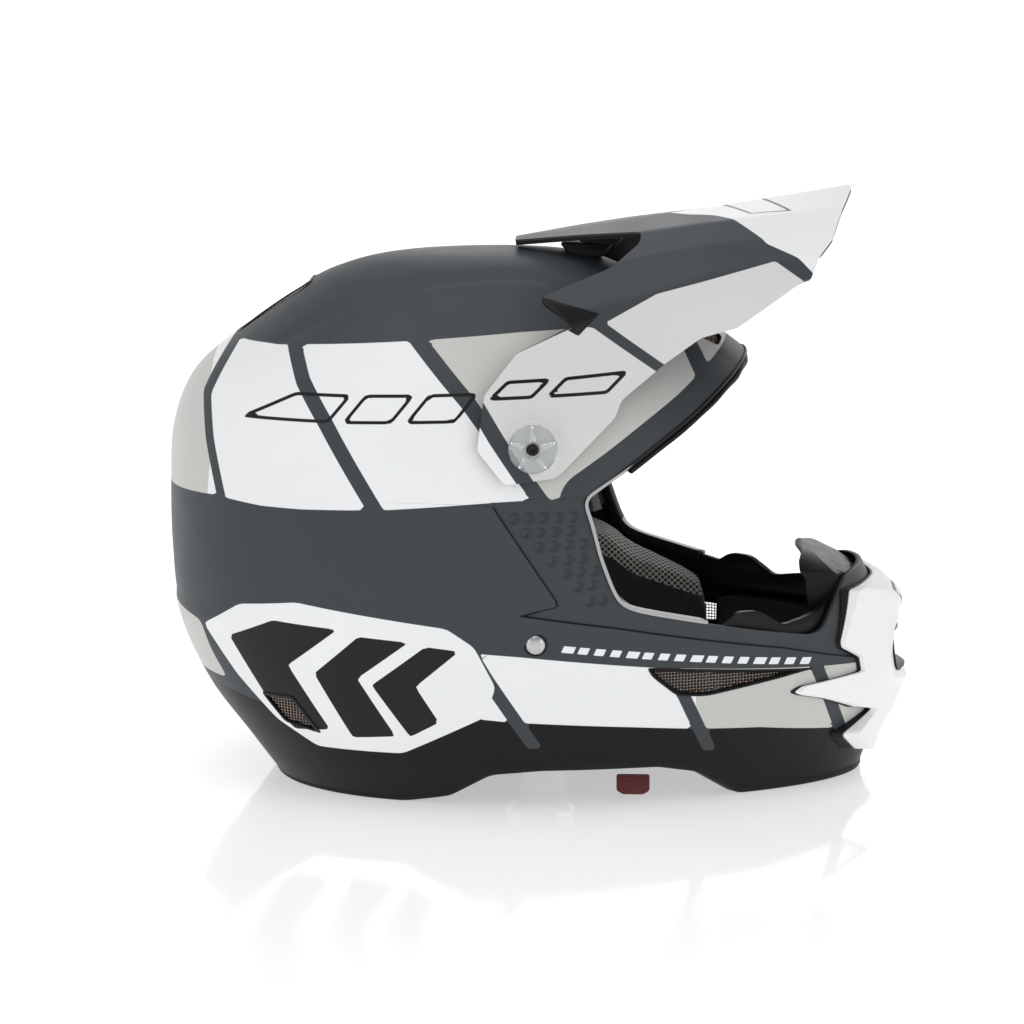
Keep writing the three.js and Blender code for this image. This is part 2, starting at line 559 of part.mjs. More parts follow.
const PEAK_SIDE = [
  [50, 268], [36, 258], [3, 245], [20, 232.5], [-7, 221], [-22, 202], [-25, 177], [-12, 161],
  [11, 164], [14, 166], [39, 191], [42, 199], [58, 212], [63, 216], [79, 227], [96, 231], [128, 252],
  [170, 262], [170, 320], [50, 300],
];
const PEAK_FIN = [[-12, -11], [-12, 11], [52, 47], [170, 47], [170, -47], [52, -47]]; // from above
const PEAK_PLAN = [
  [-60, -140], [100, -140], [132, -73], [142, -53], [152.5, -3], [152.5, 3], [142, 53], [132, 73],
  [100, 140], [-60, 140],
];
const peak = () => {
  const sheet = cut(hood(0), [hood(PEAK_WALL)]).intersect(alongZ(PEAK_PLAN, 140, 330));
  const middle = sheet.intersect(through(PEAK_MIDDLE)).intersect(alongZ(PEAK_FIN, 200, 330));
  const sides = sheet.intersect(through(PEAK_SIDE)).subtract(block(-50, 60, -46.5, 46.5, 200, 330));
  const arm = layer(PEAK_GAP + PEAK_WALL, PEAK_GAP).intersect(through(PEAK_SIDE))
    .intersect(block(-60, 40, -160, 160, 150, 232));
  const boss = rod(BOSS.radius, point(PIVOT.x, -pivotSurface - 1, PIVOT.z),
    point(PIVOT.x, -armFace - BOSS.height, PIVOT.z), 24);
  return cut(union([middle, sides, arm, boss, left(boss)]), [
    form(PEAK_GAP).intersect(below([[-220, 240], [220, 240]])), form(1.5), pivotHole, left(pivotHole)]);
};

// ---------------------------------------------------------------- assembly
add("outer_shell", outerShell(), "paint");
add("base_trim", baseTrim(), "rubber");
add("eyeport_trim", eyeportTrim(), "rubber");
add("chin_guard", chinGuard(), "white");
add("mouthpiece", mouthpiece(), "black");
add("mouth_vent_mesh", mouthMesh(), "mesh");
add("chin_skirt", chinSkirt(), "fabric");
add("chin_bar_liner", chinLiner(), "foam");
addPair("chin_intake_mesh", intakeMesh(), "mesh");
addPair("rear_exhaust_mesh", exhaustMesh(), "mesh");
addPair("brow_vent_mesh", left(browMesh()), "mesh");
add("rear_port_mesh", rearPortMesh(), "mesh");
add("outer_foam_liner", outerLiner(), "foam");
add("inner_foam_liner", innerLiner(), "paleFoam");
DAMPERS.forEach((place, i) => {
  const solid = damper(place);
  add(`liner_damper_${2 * i + 1}`, solid, "damper");
  add(`liner_damper_${2 * i + 2}`, left(solid), "damper");
});
add("comfort_liner", comfortLiner(), "fabric");
add("neck_roll", neckRoll(), "fabric");
addPair("cheek_pad", cheekPad(), "fabric");
addPair("release_tab", pullTab(), "redWebbing");
addPair("strap_rivet", strapRivet(), "steel");
addPair("strap_anchor_plate", anchorPlate(), "steel");
add("strap_long", strip(LONG_STRAP), "webbing");
add("strap_short", shortStrap(), "webbing");
add("d_ring_upper", dRing(RING_LONG, point(RIVET.x, -30.4, 21.4)), "steel");
add("d_ring_lower", dRing(RING_SHORT, point(RIVET.x, -30.4, 13.2)), "steel");
addPair("peak_screw", peakScrew(), "clear");
addPair("peak_nut", peakNut(), "black");
add("guard_screw_right", guardScrew(-30), "steel");
add("guard_screw_left", guardScrew(30), "steel");
add("peak", peak(), "paint");

export default helmet;
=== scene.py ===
"""Motocross helmet: the finished look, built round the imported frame. Lengths are written in mm and
placed in metres. +X is the way the wearer faces, +Y the wearer's left, +Z up."""
import math

import bpy
import numpy as np
from mathutils import Matrix, Vector


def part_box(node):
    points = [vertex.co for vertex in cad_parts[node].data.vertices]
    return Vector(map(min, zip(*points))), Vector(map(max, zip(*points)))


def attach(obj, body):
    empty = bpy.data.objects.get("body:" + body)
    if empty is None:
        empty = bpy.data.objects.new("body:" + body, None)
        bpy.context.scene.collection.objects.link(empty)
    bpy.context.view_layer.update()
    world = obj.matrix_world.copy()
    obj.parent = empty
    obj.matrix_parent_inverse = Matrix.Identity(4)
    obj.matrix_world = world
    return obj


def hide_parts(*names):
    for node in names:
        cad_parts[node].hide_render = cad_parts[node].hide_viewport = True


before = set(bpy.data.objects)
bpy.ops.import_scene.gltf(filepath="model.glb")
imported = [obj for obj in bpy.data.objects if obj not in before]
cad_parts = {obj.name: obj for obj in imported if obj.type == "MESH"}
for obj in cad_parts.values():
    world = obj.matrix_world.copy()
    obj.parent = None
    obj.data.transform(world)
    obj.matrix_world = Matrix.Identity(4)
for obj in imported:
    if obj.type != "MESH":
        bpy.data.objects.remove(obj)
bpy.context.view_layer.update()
MM = 0.001
PIVOT = (1.0, 178.0)  # the peak turns about the Y axis through this x, z
RIVET = (2.0, 83.0)  # the chin strap swings about the Y axis through this x, z
SIDES = (("right", -1), ("left", 1))

# ------------------------------------------------------------------ the helmet's form
# Rings, rim first: z, rear x, front x, half width, x of the widest place, and how square the rear and
# front halves are.
FORM_RINGS = np.array([
    [0, -131, 160, 92, -25, 2.3, 1.9],
    [22, -147, 168, 104, -28, 2.3, 1.85],
    [48, -166, 178, 113, -30, 2.3, 1.8],
    [80, -180, 172, 119, -32, 2.3, 1.85],
    [112, -183, 158, 123, -34, 2.3, 2.0],
    [145, -183.4, 143, 125, -36, 2.25, 2.1],
    [175, -181.5, 128, 123, -38, 2.2, 2.15],
    [200, -171, 112, 114, -36, 2.15, 2.15],
    [220, -148, 88, 98, -32, 2.1, 2.1],
    [238, -123, 64, 77, -28, 2.05, 2.05],
    [250, -101, 43, 56, -24, 2.0, 2.0],
    [257.5, -70, 20, 32, -20, 2.0, 2.0],
    [260.5, -14, -14, 0, -14, 2.0, 2.0],
])
Z, REAR, FRONT, HALF, WIDEST, REAR_POWER, FRONT_POWER = range(7)
LAST_RING = len(FORM_RINGS) - 1


def catmull_rom(rows, places):
    """Rows of numbers, interpolated smoothly at places counted in rows."""
    places = np.asarray(places, float)
    first = np.clip(np.floor(places).astype(int), 0, len(rows) - 2)
    t = (places - first)[:, None]
    a, b, c, d = (rows[np.clip(first + k, 0, len(rows) - 1)] for k in (-1, 0, 1, 2))
    return 0.5 * (2 * b + (c - a) * t + (2 * a - 5 * b + 4 * c - d) * t * t
                  + (3 * b - a - 3 * c + d) * t ** 3)


RING_STEPS = 480
HALVINGS = 26  # of the search for the form's height at a place
RING_PLACES = np.linspace(0, LAST_RING, RING_STEPS + 1)
RING_TABLE = catmull_rom(FORM_RINGS, RING_PLACES)


def ring_table(offset):
    """The form's rings moved out by offset along its slope."""
    table = RING_TABLE.copy()
    rise = np.gradient(table[:, Z])
    taper = np.maximum(-np.gradient(table[:, HALF]), 0)
    length = np.hypot(rise, taper)
    out = offset * rise / length
    table[:, Z] += offset * taper / length
    table[:, REAR] -= out
    table[:, FRONT] += out
    table[:, HALF] += out
    return table


def ring_at(places, at, offset):
    """Rings of the form moved out by offset, at values of one of the table's own measures."""
    table = ring_table(offset)
    known = RING_PLACES if at is None else table[:, at]
    return np.stack([np.interp(places, known, table[:, k]) for k in range(7)], 1)


def half_of(ring, ahead):
    """How far a ring reaches from its widest place, ahead of it or behind, and how square it is."""
    reach = np.where(ahead, ring[:, FRONT] - ring[:, WIDEST], ring[:, WIDEST] - ring[:, REAR])
    return reach, np.where(ahead, ring[:, FRONT_POWER], ring[:, REAR_POWER])


def on_form(place, angle, offset):
    """Points of the form at ring places and at angles from the front, as rows of x, y, z."""
    ring = ring_at(place, None, offset)
    c, s = np.cos(angle), np.sin(angle)
    reach, squareness = half_of(ring, c >= 0)
    power = 2 / squareness
    x = ring[:, WIDEST] + np.sign(c) * np.abs(c) ** power * reach
    y = np.sign(s) * np.abs(s) ** power * ring[:, HALF]
    return np.stack([x, y, ring[:, Z]], 1)


def side_point(x, z, offset, side=1):
    """The form's point at x, z on one side."""
    x, z = np.broadcast_arrays(np.atleast_1d(np.asarray(x, float)), np.atleast_1d(z))
    ring = ring_at(z, Z, offset)
    reach, power = half_of(ring, x >= ring[:, WIDEST])
    q = np.clip(np.abs(x - ring[:, WIDEST]) / reach, 0, 1)
    return np.stack([x, side * ring[:, HALF] * (1 - q ** power) ** (1 / power), z], 1)


def front_point(y, z, offset):
    """The form's foremost point at y, z."""
    y, z = np.broadcast_arrays(np.atleast_1d(np.asarray(y, float)), np.atleast_1d(z))
    ring = ring_at(z, Z, offset)
    q = np.clip(np.abs(y) / ring[:, HALF], 0, 1)
    reach = ring[:, FRONT] - ring[:, WIDEST]
    x = ring[:, WIDEST] + reach * (1 - q ** ring[:, FRONT_POWER]) ** (1 / ring[:, FRONT_POWER])
    return np.stack([x, y, z], 1)


def top_point(x, y, offset):
    """The form's highest point at x, y."""
    x, y = (np.asarray(v, float) for v in np.broadcast_arrays(x, y))
    low, high = np.zeros(x.shape), np.full(x.shape, float(LAST_RING))
    for _ in range(HALVINGS):
        middle = (low + high) / 2
        ring = ring_at(middle, None, offset)
        reach, power = half_of(ring, x >= ring[:, WIDEST])
        size = (np.abs(x - ring[:, WIDEST]) / np.maximum(reach, 1e-6)) ** power
        size += (np.abs(y) / np.maximum(ring[:, HALF], 1e-6)) ** power
        low, high = np.where(size < 1, middle, low), np.where(size < 1, high, middle)
    return np.stack([x, y, ring_at(low, None, offset)[:, Z]], 1)


# ------------------------------------------------------------------ outlines seen from the side, x, z
EYEPORT = [(24, 153), (28, 141), (32, 125), (37, 111), (40.5, 103.5), (44.5, 100), (51, 97.5),
           (61, 95), (108, 84), (134, 78.5), (139, 79.5), (142, 83), (150, 100), (154, 103.5),
           (165, 106), (230, 112), (230, 240), (130, 228), (102, 210.5), (88, 199.5), (75, 189),
           (58, 177), (43, 166)]
LOWER_EDGE = [(-220, 0), (-62, 0), (-40, 4), (-20, 16), (4, 18), (60, 18), (79, 14), (99, 0), (220, 0)]
CHIN_INTAKE = [(54, 70), (57, 65), (69, 54.5), (83, 53.5), (137, 62)]
REAR_EXHAUST = [(-132, 53), (-115, 53), (-101, 34), (-120, 38)]
CHEEK_PANEL = [(-20, 153.5), (13.6, 101.6), (-6, 97.5), (40, 90), (80, 82), (120, 74), (162, 62),
               (220, 60), (220, 154), (24, 154)]
REAR_PORT = [(-150, -13), (-146, -17), (-118, -21), (-112, -17), (-112, 17), (-118, 21), (-146, 17),
             (-150, 13)]
BROW_PORT = [(70, 12), (66, 38), (76, 40), (88, 34), (90, 16), (86, 11)]
MOUTH_PORT = [(-21, 62), (-19, 52), (19, 52), (21, 62), (17, 72), (-17, 72)]


def rounded(outline, radius, steps=4):
    """An outline with its corners rounded to about radius."""
    made = []
    points = [np.array(p, float) for p in outline]
    for before, here, after in zip(points[-1:] + points[:-1], points, points[1:] + points[:1]):
        back, ahead = before - here, after - here
        reach = min(radius, np.linalg.norm(back) * 0.45, np.linalg.norm(ahead) * 0.45)
        a = here + back / np.linalg.norm(back) * reach
        b = here + ahead / np.linalg.norm(ahead) * reach
        for t in np.linspace(0, 1, steps + 1):
            made.append((1 - t) ** 2 * a + 2 * t * (1 - t) * here + t * t * b)
    return np.array(made)


def inside_distance(points, outline):
    """Signed distance from an outline, above 0 inside it, for rows of two coordinates."""
    outline = np.asarray(outline, float)
    nearest = np.full(len(points), np.inf)
    inside = np.zeros(len(points), bool)
    for a, b in zip(outline, np.roll(outline, -1, 0)):
        along = b - a
        t = np.clip(((points - a) @ along) / max(along @ along, 1e-12), 0, 1)
        nearest = np.minimum(nearest, np.linalg.norm(points - a - t[:, None] * along, axis=1))
        crosses = (a[1] > points[:, 1]) != (b[1] > points[:, 1])
        with np.errstate(divide="ignore", invalid="ignore"):
            at = a[0] + (points[:, 1] - a[1]) * along[0] / along[1]
        inside ^= crosses & (points[:, 0] < at)
    return np.where(inside, nearest, -nearest)


def above_line(points, line):
    """How far rows of x, z are above a line of points that runs to greater x."""
    line = np.array(line, float)
    slope = np.gradient(line[:, 1], line[:, 0])
    lift = points[:, 1] - np.interp(points[:, 0], line[:, 0], line[:, 1])
    return lift / np.sqrt(1 + np.interp(points[:, 0], line[:, 0], slope) ** 2)


# ------------------------------------------------------------------ mesh making
def clip(data, faces, value):
    """The part of a triangle mesh where value, one number for each vertex, is above 0. Everything
    that data holds for a vertex is interpolated where an edge is cut."""
    inside = value > 0
    count = inside[faces].sum(1)
    kept = faces[count == 3].tolist()
    made, rows = {}, []

    def cut(a, b):
        key = (a, b) if a < b else (b, a)
        if key not in made:
            t = value[a] / (value[a] - value[b])
            rows.append(data[a] + (data[b] - data[a]) * t)
            made[key] = len(data) + len(rows) - 1
        return made[key]

    for face in faces[(count == 1) | (count == 2)].tolist():
        one_inside = inside[face].sum() == 1
        k = [i for i in range(3) if inside[face[i]] == one_inside][0]
        a, b, c = face[k], face[(k + 1) % 3], face[(k + 2) % 3]
        ab, ac = cut(a, b), cut(a, c)
        kept += [[a, ab, ac]] if one_inside else [[ab, b, c], [ab, c, ac]]
    data = np.vstack([data, rows]) if rows else data
    faces = np.array(kept, int).reshape(-1, 3)
    used, faces = np.unique(faces, return_inverse=True)
    return data[used], faces.reshape(-1, 3)


def clip_all(data, faces, first, count):
    """What is left of a mesh after a clip by each of count columns of its data."""
    for k in range(first, first + count):
        data, faces = clip(data, faces, data[:, k])
    return data, faces


def border_edges(faces):
    """The directed edges that only one face has."""
    edges = np.concatenate([faces[:, [0, 1]], faces[:, [1, 2]], faces[:, [2, 0]]])
    size = int(faces.max()) + 1
    codes = edges[:, 0] * size + edges[:, 1]
    back = edges[:, 1] * size + edges[:, 0]
    return edges[~np.isin(codes, back)]


def thickened(outer, inner, faces):
    """Points and faces of the closed solid between two layers that share their faces."""
    count = len(outer)
    edges = border_edges(faces)
    walls = np.concatenate([
        np.stack([edges[:, 1], edges[:, 0], edges[:, 0] + count], 1),
        np.stack([edges[:, 1], edges[:, 0] + count, edges[:, 1] + count], 1)])
    return np.vstack([outer, inner]), np.vstack([faces, faces[:, ::-1] + count, walls])


def loops(faces):
    """The borders of a triangle mesh as ordered lists of vertices."""
    follow = {a: b for a, b in border_edges(faces).tolist()}
    found = []
    while follow:
        start, here = follow.popitem()
        loop = [start]
        while here != start and here in follow:
            loop.append(here)
            here = follow.pop(here)
        found.append(loop)
    return found


def make(name, points, faces, material, smooth=40, attributes=None):
    """A mesh object from points in mm, smooth except where faces meet at more than smooth degrees."""
    mesh = bpy.data.meshes.new(name)
    points = np.asarray(points, float) * MM
    if isinstance(faces, np.ndarray):
        mesh.vertices.add(len(points))
        mesh.vertices.foreach_set("co", points.ravel())
        mesh.loops.add(faces.size)
        mesh.loops.foreach_set("vertex_index", faces.ravel())
        mesh.polygons.add(len(faces))
        mesh.polygons.foreach_set("loop_start", np.arange(0, faces.size, faces.shape[1]))
        mesh.update(calc_edges=True)
    else:
        mesh.from_pydata(points.tolist(), [], faces)
    for key, values in (attributes or {}).items():
        layer = mesh.attributes.new(key, "FLOAT", "POINT")
        layer.data.foreach_set("value", np.asarray(values, np.float32))
    mesh.validate()
    mesh.polygons.foreach_set("use_smooth", np.ones(len(mesh.polygons), bool))
    mesh.set_sharp_from_angle(angle=math.radians(smooth))
    mesh.materials.append(material)
    piece = bpy.data.objects.new(name, mesh)
    bpy.context.scene.collection.objects.link(piece)
    return piece


def finish_piece(piece, body, slot, *nodes):
    """Puts a piece on the body it rides on and hides the CAD nodes that it stands for; slot, its material
    slot, is not used.
    """
    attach(piece, body)
    if nodes:
        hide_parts(*nodes)


def fineness(full):
    return full


def grid_faces(rows, columns, around=False):
    """Triangles of a grid of points, wrapped round its columns if asked."""
    last = columns if around else columns - 1
    i, j = np.meshgrid(np.arange(rows - 1), np.arange(last), indexing="ij")
    a = (i * columns + j).ravel()
    b = (i * columns + (j + 1) % columns).ravel()
    c, d = b + columns, a + columns
    return np.concatenate([np.stack([a, b, c], 1), np.stack([a, c, d], 1)])


ABOVE_ALL = 400  # a height over the whole form
SHORT_OF_CROWN = 0.997  # where the last ring of a grid lies, before the crown's single point
GRID_GIRTH = 290  # the form's length for each radian of a grid, twice its mean radius


class Skin:
    """A grid over the whole form, with its outer and inner layer and the places where a piece of it
    is cut. Sideways it knows x, z, and on top x, y."""

    def __init__(self, cell, low=0.0, high=None, reach=None):
        """The whole form, or the part between two heights within an angle each side of the front."""
        climb = np.hypot(np.diff(RING_TABLE[:, Z]), np.diff(RING_TABLE[:, HALF]))
        arc = np.concatenate([[0], np.cumsum(climb)])
        ends = np.interp([low, ABOVE_ALL if high is None else high], RING_TABLE[:, Z], arc)
        ends[1] = min(ends[1], arc[-1] * SHORT_OF_CROWN)
        rows = int((ends[1] - ends[0]) / cell) + 2
        around = reach is None
        reach = np.pi if around else reach
        self.columns = int(reach * GRID_GIRTH / cell)
        even = np.interp(np.linspace(*ends, rows), arc, RING_PLACES)
        angles = np.linspace(-reach, reach, self.columns, endpoint=not around)
        self.place = np.repeat(even, self.columns)
        self.angle = np.tile(angles, rows)
        self.faces = grid_faces(rows, self.columns, around)
        if high is None:
            top = (rows - 1) * self.columns + np.arange(self.columns)
            cap = np.stack([top, np.roll(top, -1), np.full(self.columns, rows * self.columns)], 1)
            self.faces = np.vstack([self.faces, cap])
            self.place = np.append(self.place, LAST_RING)
            self.angle = np.append(self.angle, 0)
        self.look_at(0)

    def look_at(self, offset):
        """Takes the places where outlines cut the grid from the layer at an offset."""
        self.middle = on_form(self.place, self.angle, offset)
        self.side = self.middle[:, [0, 2]]
        self.plan = self.middle[:, [0, 1]]
        self.nose = self.middle[:, [1, 2]]
        return self

    def layer(self, offset):
        """Points of the form at an offset, which may vary over the grid."""
        if np.isscalar(offset):
            return on_form(self.place, self.angle, offset)
        low, high = on_form(self.place, self.angle, -1.0), on_form(self.place, self.angle, 1.0)
        return low + (high - low) * ((np.asarray(offset) + 1) / 2)[:, None]

    def piece(self, outer, inner, keep, fields=None):
        """The outer and inner points, faces and fields of the part of the grid that every field in
        keep holds above 0."""
        fields = fields or {}
        columns = [outer, inner, *[f[:, None] for f in keep], *[f[:, None] for f in fields.values()]]
        data, faces = clip_all(np.hstack(columns), self.faces, 6, len(keep))
        first = 6 + len(keep)
        named = {key: data[:, first + k] for k, key in enumerate(fields)}
        return data[:, :3], data[:, 3:6], faces, named


# ------------------------------------------------------------------ materials
class Shade:
    """A material's nodes, one call for each. A value may be a number, a colour or another node's
    output."""

    def __init__(self, name, color=(0.8, 0.8, 0.8), roughness=0.5, **inputs):
        self.material = bpy.data.materials.new(name)
        self.material.use_nodes = True
        self.tree = self.material.node_tree
        self.surface = self.tree.nodes["Principled BSDF"]
        self.set(**{"Base Color": (*color, 1), "Roughness": roughness, **inputs})
        self.place = self.node("ShaderNodeTexCoord").outputs["Object"]

    def set(self, **inputs):
        for key, value in inputs.items():
            self.surface.inputs[key.replace("_", " ")].default_value = value

    def node(self, kind, **settings):
        node = self.tree.nodes.new(kind)
        for key, value in settings.items():
            setattr(node, key, value)
        return node

    def link(self, value, socket):
        if isinstance(value, bpy.types.NodeSocket):
            self.tree.links.new(value, socket)
        elif isinstance(value, (tuple, list)) and len(value) == 3 and socket.type == "RGBA":
            socket.default_value = (*value, 1)
        else:
            socket.default_value = value

    def to(self, name, value):
        self.link(value, self.surface.inputs[name])

    def attribute(self, name):
        return self.node("ShaderNodeAttribute", attribute_name=name).outputs["Fac"]

    def math(self, operation, a, b=0.0, c=0.0):
        node = self.node("ShaderNodeMath", operation=operation)
        for value, socket in zip((a, b, c), node.inputs):
            self.link(value, socket)
        return node.outputs[0]

    def step(self, value, low, high, start=0.0, end=1.0):
        node = self.node("ShaderNodeMapRange")
        for given, socket in zip((value, low, high, start, end), node.inputs):
            self.link(given, socket)
        return node.outputs[0]

    def mix(self, amount, a, b):
        node = self.node("ShaderNodeMix", data_type="RGBA")
        for value, index in ((amount, 0), (a, 6), (b, 7)):
            self.link(value, node.inputs[index])
        return node.outputs[2]

    def stretched(self, x, y, z):
        node = self.node("ShaderNodeMapping")
        self.link(self.place, node.inputs["Vector"])
        node.inputs["Scale"].default_value = (x, y, z)
        return node.outputs[0]

    def noise(self, scale, detail=2.0, place=None):
        node = self.node("ShaderNodeTexNoise")
        self.link(place or self.place, node.inputs["Vector"])
        node.inputs["Scale"].default_value = scale
        node.inputs["Detail"].default_value = detail
        return node.outputs["Fac"]

    def cells(self, scale, place=None, feature="F1", loose=1.0):
        node = self.node("ShaderNodeTexVoronoi", feature=feature)
        node.inputs["Randomness"].default_value = loose
        self.link(place or self.place, node.inputs["Vector"])
        node.inputs["Scale"].default_value = scale
        return node.outputs["Distance"]

    def wave(self, scale, direction, distortion=0.0):
        node = self.node("ShaderNodeTexWave", bands_direction=direction)
        self.link(self.place, node.inputs["Vector"])
        node.inputs["Scale"].default_value = scale
        node.inputs["Distortion"].default_value = distortion
        return node.outputs["Fac"]

    def bump(self, height, strength, distance, normal=None):
        node = self.node("ShaderNodeBump")
        self.link(height, node.inputs["Height"])
        node.inputs["Strength"].default_value = strength
        node.inputs["Distance"].default_value = distance
        if normal is not None:
            self.link(normal, node.inputs["Normal"])
        return node.outputs[0]


def srgb(r, g, b):
    """A colour written as 0 to 255 in display values."""
    return tuple(((v / 255 + 0.055) / 1.055) ** 2.4 if v > 10 else v / 255 / 12.92
                 for v in (r, g, b))


def darker(color, part):
    return tuple(c * part for c in color)


SLATE = srgb(62, 67, 71)
WHITE = srgb(241, 243, 244)
BLACK = srgb(8, 8, 9)
EDGE = 0.12  # mm over which one painted colour gives way to the next


def paint(name, base, layers, roughness=0.42):
    """Satin paint under thin lacquer. layers are (attribute, colour, roughness): each covers what is
    below it where its attribute is above 0, or within a line's half width of 0 if one is given."""
    shade = Shade(name, base, roughness, Coat_Weight=0.05, Coat_Roughness=0.3, IOR=1.3)
    color, rough = base, roughness
    rough_socket = shade.step(shade.noise(55, 4), 0.3, 0.7, -0.03, 0.03)
    for attribute, tint, tint_rough, *line in layers:
        value = shade.attribute(attribute)
        if line:
            value = shade.math("SUBTRACT", line[0], shade.math("ABSOLUTE", value))
        over = shade.step(value, -EDGE, EDGE)
        color = shade.mix(over, color, tint)
        if tint_rough != roughness:
            change = shade.math("MULTIPLY", over, tint_rough - roughness)
            rough = shade.math("ADD", change, rough)
    tone = shade.step(shade.noise(9, 3), 0.2, 0.8, 0.97, 1.03)
    grain = shade.step(shade.noise(2600, 2), 0.2, 0.8, 0.965, 1.035)
    tinted = shade.node("ShaderNodeVectorMath", operation="SCALE")
    shade.link(color, tinted.inputs[0])
    shade.link(shade.math("MULTIPLY", tone, grain), tinted.inputs["Scale"])
    shade.to("Base Color", tinted.outputs[0])
    shade.to("Roughness", shade.math("ADD", rough_socket, rough))
    fine = shade.bump(shade.noise(1500, 2), 0.05, 0.0002)
    shade.to("Normal", shade.bump(shade.noise(240, 2), 0.035, 0.0006, fine))
    return shade.material


# ------------------------------------------------------------------ camera, floor and light
CAMERA_AZIMUTH, CAMERA_ELEVATION, CAMERA_DISTANCE = 2.4, 9.5, 1.92  # degrees, degrees, m
CAMERA_TARGET = (-0.014, 0, 0.127)
FLOOR_REACH, FLOOR_DROP = 60000, 0.0002  # mm, m
FLOOR_BLUR = (-0.22, -0.75, 0.07, 0.6)  # y from, y to, roughness from, roughness to


def studio():
    """The view from the wearer's right, a pale glossy floor and large soft lights."""
    azimuth, elevation = math.radians(CAMERA_AZIMUTH), math.radians(CAMERA_ELEVATION)
    back = Vector((math.sin(azimuth) * math.cos(elevation),
                   -math.cos(azimuth) * math.cos(elevation), math.sin(elevation)))
    camera = bpy.data.objects.new("camera", bpy.data.cameras.new("camera"))
    bpy.context.scene.collection.objects.link(camera)
    camera.data.lens, camera.data.sensor_width = 135, 36
    camera.data.clip_start, camera.data.clip_end = 0.05, 200
    right = Vector((math.cos(azimuth), math.sin(azimuth), 0))
    up = back.cross(right)
    turn = Matrix((right, up, back)).transposed().to_4x4()
    place = Vector(CAMERA_TARGET) + back * CAMERA_DISTANCE
    camera.matrix_world = Matrix.Translation(place) @ turn
    bpy.context.scene.camera = camera

    shade = Shade("floor", (0.8, 0.8, 0.8), 0.1, IOR=1.6, Emission_Strength=0.46)
    shade.set(Emission_Color=(1, 1, 1, 1))
    split = shade.node("ShaderNodeSeparateXYZ")
    shade.link(shade.place, split.inputs[0])
    shade.to("Roughness", shade.step(split.outputs["Y"], *FLOOR_BLUR))
    far = FLOOR_REACH
    floor = make("floor", [(-far, -far, 0), (far, -far, 0), (far, far, 0), (-far, far, 0)],
                 [[0, 1, 2, 3]], shade.material)
    floor.location.z = -FLOOR_DROP

    # the room is brightest round the horizon
    world = bpy.data.worlds.new("studio")
    world.use_nodes = True
    tree = world.node_tree
    heading = tree.nodes.new("ShaderNodeTexCoord")
    height = tree.nodes.new("ShaderNodeSeparateXYZ")
    fade = tree.nodes.new("ShaderNodeMapRange")
    tree.links.new(heading.outputs["Generated"], height.inputs[0])
    tree.links.new(height.outputs["Z"], fade.inputs["Value"])
    for key, value in (("From Min", 0.1), ("From Max", 0.6), ("To Min", 1.0), ("To Max", 0.42)):
        fade.inputs[key].default_value = value
    tree.links.new(fade.outputs[0], tree.nodes["Background"].inputs["Strength"])
    tree.nodes["Background"].inputs["Color"].default_value = (1, 1, 1, 1)
    bpy.context.scene.world = world

    def light(name, place, size, power, aim=(0, 0, 0.13)):
        lamp = bpy.data.lights.new(name, "AREA")
        lamp.shape, lamp.size, lamp.size_y, lamp.energy = "RECTANGLE", size[0], size[1], power
        lit = bpy.data.objects.new(name, lamp)
        bpy.context.scene.collection.objects.link(lit)
        lit.location = place
        lit.rotation_euler = (Vector(aim) - Vector(place)).to_track_quat("-Z", "Y").to_euler()

    light("overhead", (-0.2, -0.1, 1.6), (1.3, 1.3), 7)
    light("front_right", (1.3, -1.2, 0.8), (0.7, 1.1), 2.5)
    light("rear_right", (-1.4, -0.9, 0.8), (0.7, 1.1), 1.8)
    light("far_side", (0.3, 1.5, 0.8), (1.2, 0.9), 3)
    bpy.context.scene.view_settings.view_transform = "Standard"


studio()

# ------------------------------------------------------------------ graphics, as fields over the side
# Each is above 0 where its colour shows. The lines run to greater x.
TOP_LINE = [(-260, 217), (-147, 218), (-125, 219), (-112, 220), (-58, 224), (-6, 228), (20, 229),
            (60, 231), (260, 236)]
MIDDLE_LINE = [(-260, 147), (-178, 147), (-153, 148.5), (-129, 146.5), (-109, 146.5), (-69, 148),
               (-19, 152), (0, 153), (24, 153.5), (260, 154)]
# A stripe is its middle line and its width.
STRIPES = [([(-146, 222), (-155, 204), (-159, 195), (-156, 175), (-149, 146)], 4.6),
           ([(-117, 224), (-109, 205), (-97, 187), (-72, 146)], 7.2),
           ([(-58, 228), (-30, 198), (-2, 162), (8, 148)], 7.2),
           ([(66, 234), (84, 199)], 7.0)]
CHIN_BAND = [(-27, 79), (-5, 77), (54, 70), (137, 62.5), (200, 57), (200, 22), (163, 26), (109, 35),
             (80, 37), (47, 40), (13, 42.5), (-24, 45)]
CHIN_STRIPES = [([(-30, 82), (-21, 66), (-2, 36), (9, 18)], 6.2),
                ([(64, 68), (72, 55), (89, 16)], 6.0),
                ([(135, 66), (141, 52), (152, 20)], 6.0)]
LOW_LINE = [(-260, 48), (-150, 50), (-122, 45), (-110, 34), (-60, 36), (-26, 46), (-13, 44.5),
            (13, 42.5), (47, 40), (80, 37), (109, 35), (163, 26), (260, 20)]
FRONT_PALE_LINE = [(0, -23), (150, 7), (170, -9), (226, -54), (300, -110)]  # z, x
REAR_WHITE = [(-230, 89), (-180, 88), (-163, 84), (-158, 70), (-150, 56), (-163, 56), (-230, 52)]
BADGE = [(-161, 83), (-141, 97), (-112, 101), (-40, 91), (-27, 82), (-17, 62), (-22, 47), (-62, 27),
         (-104, 27), (-124, 39), (-144, 60)]
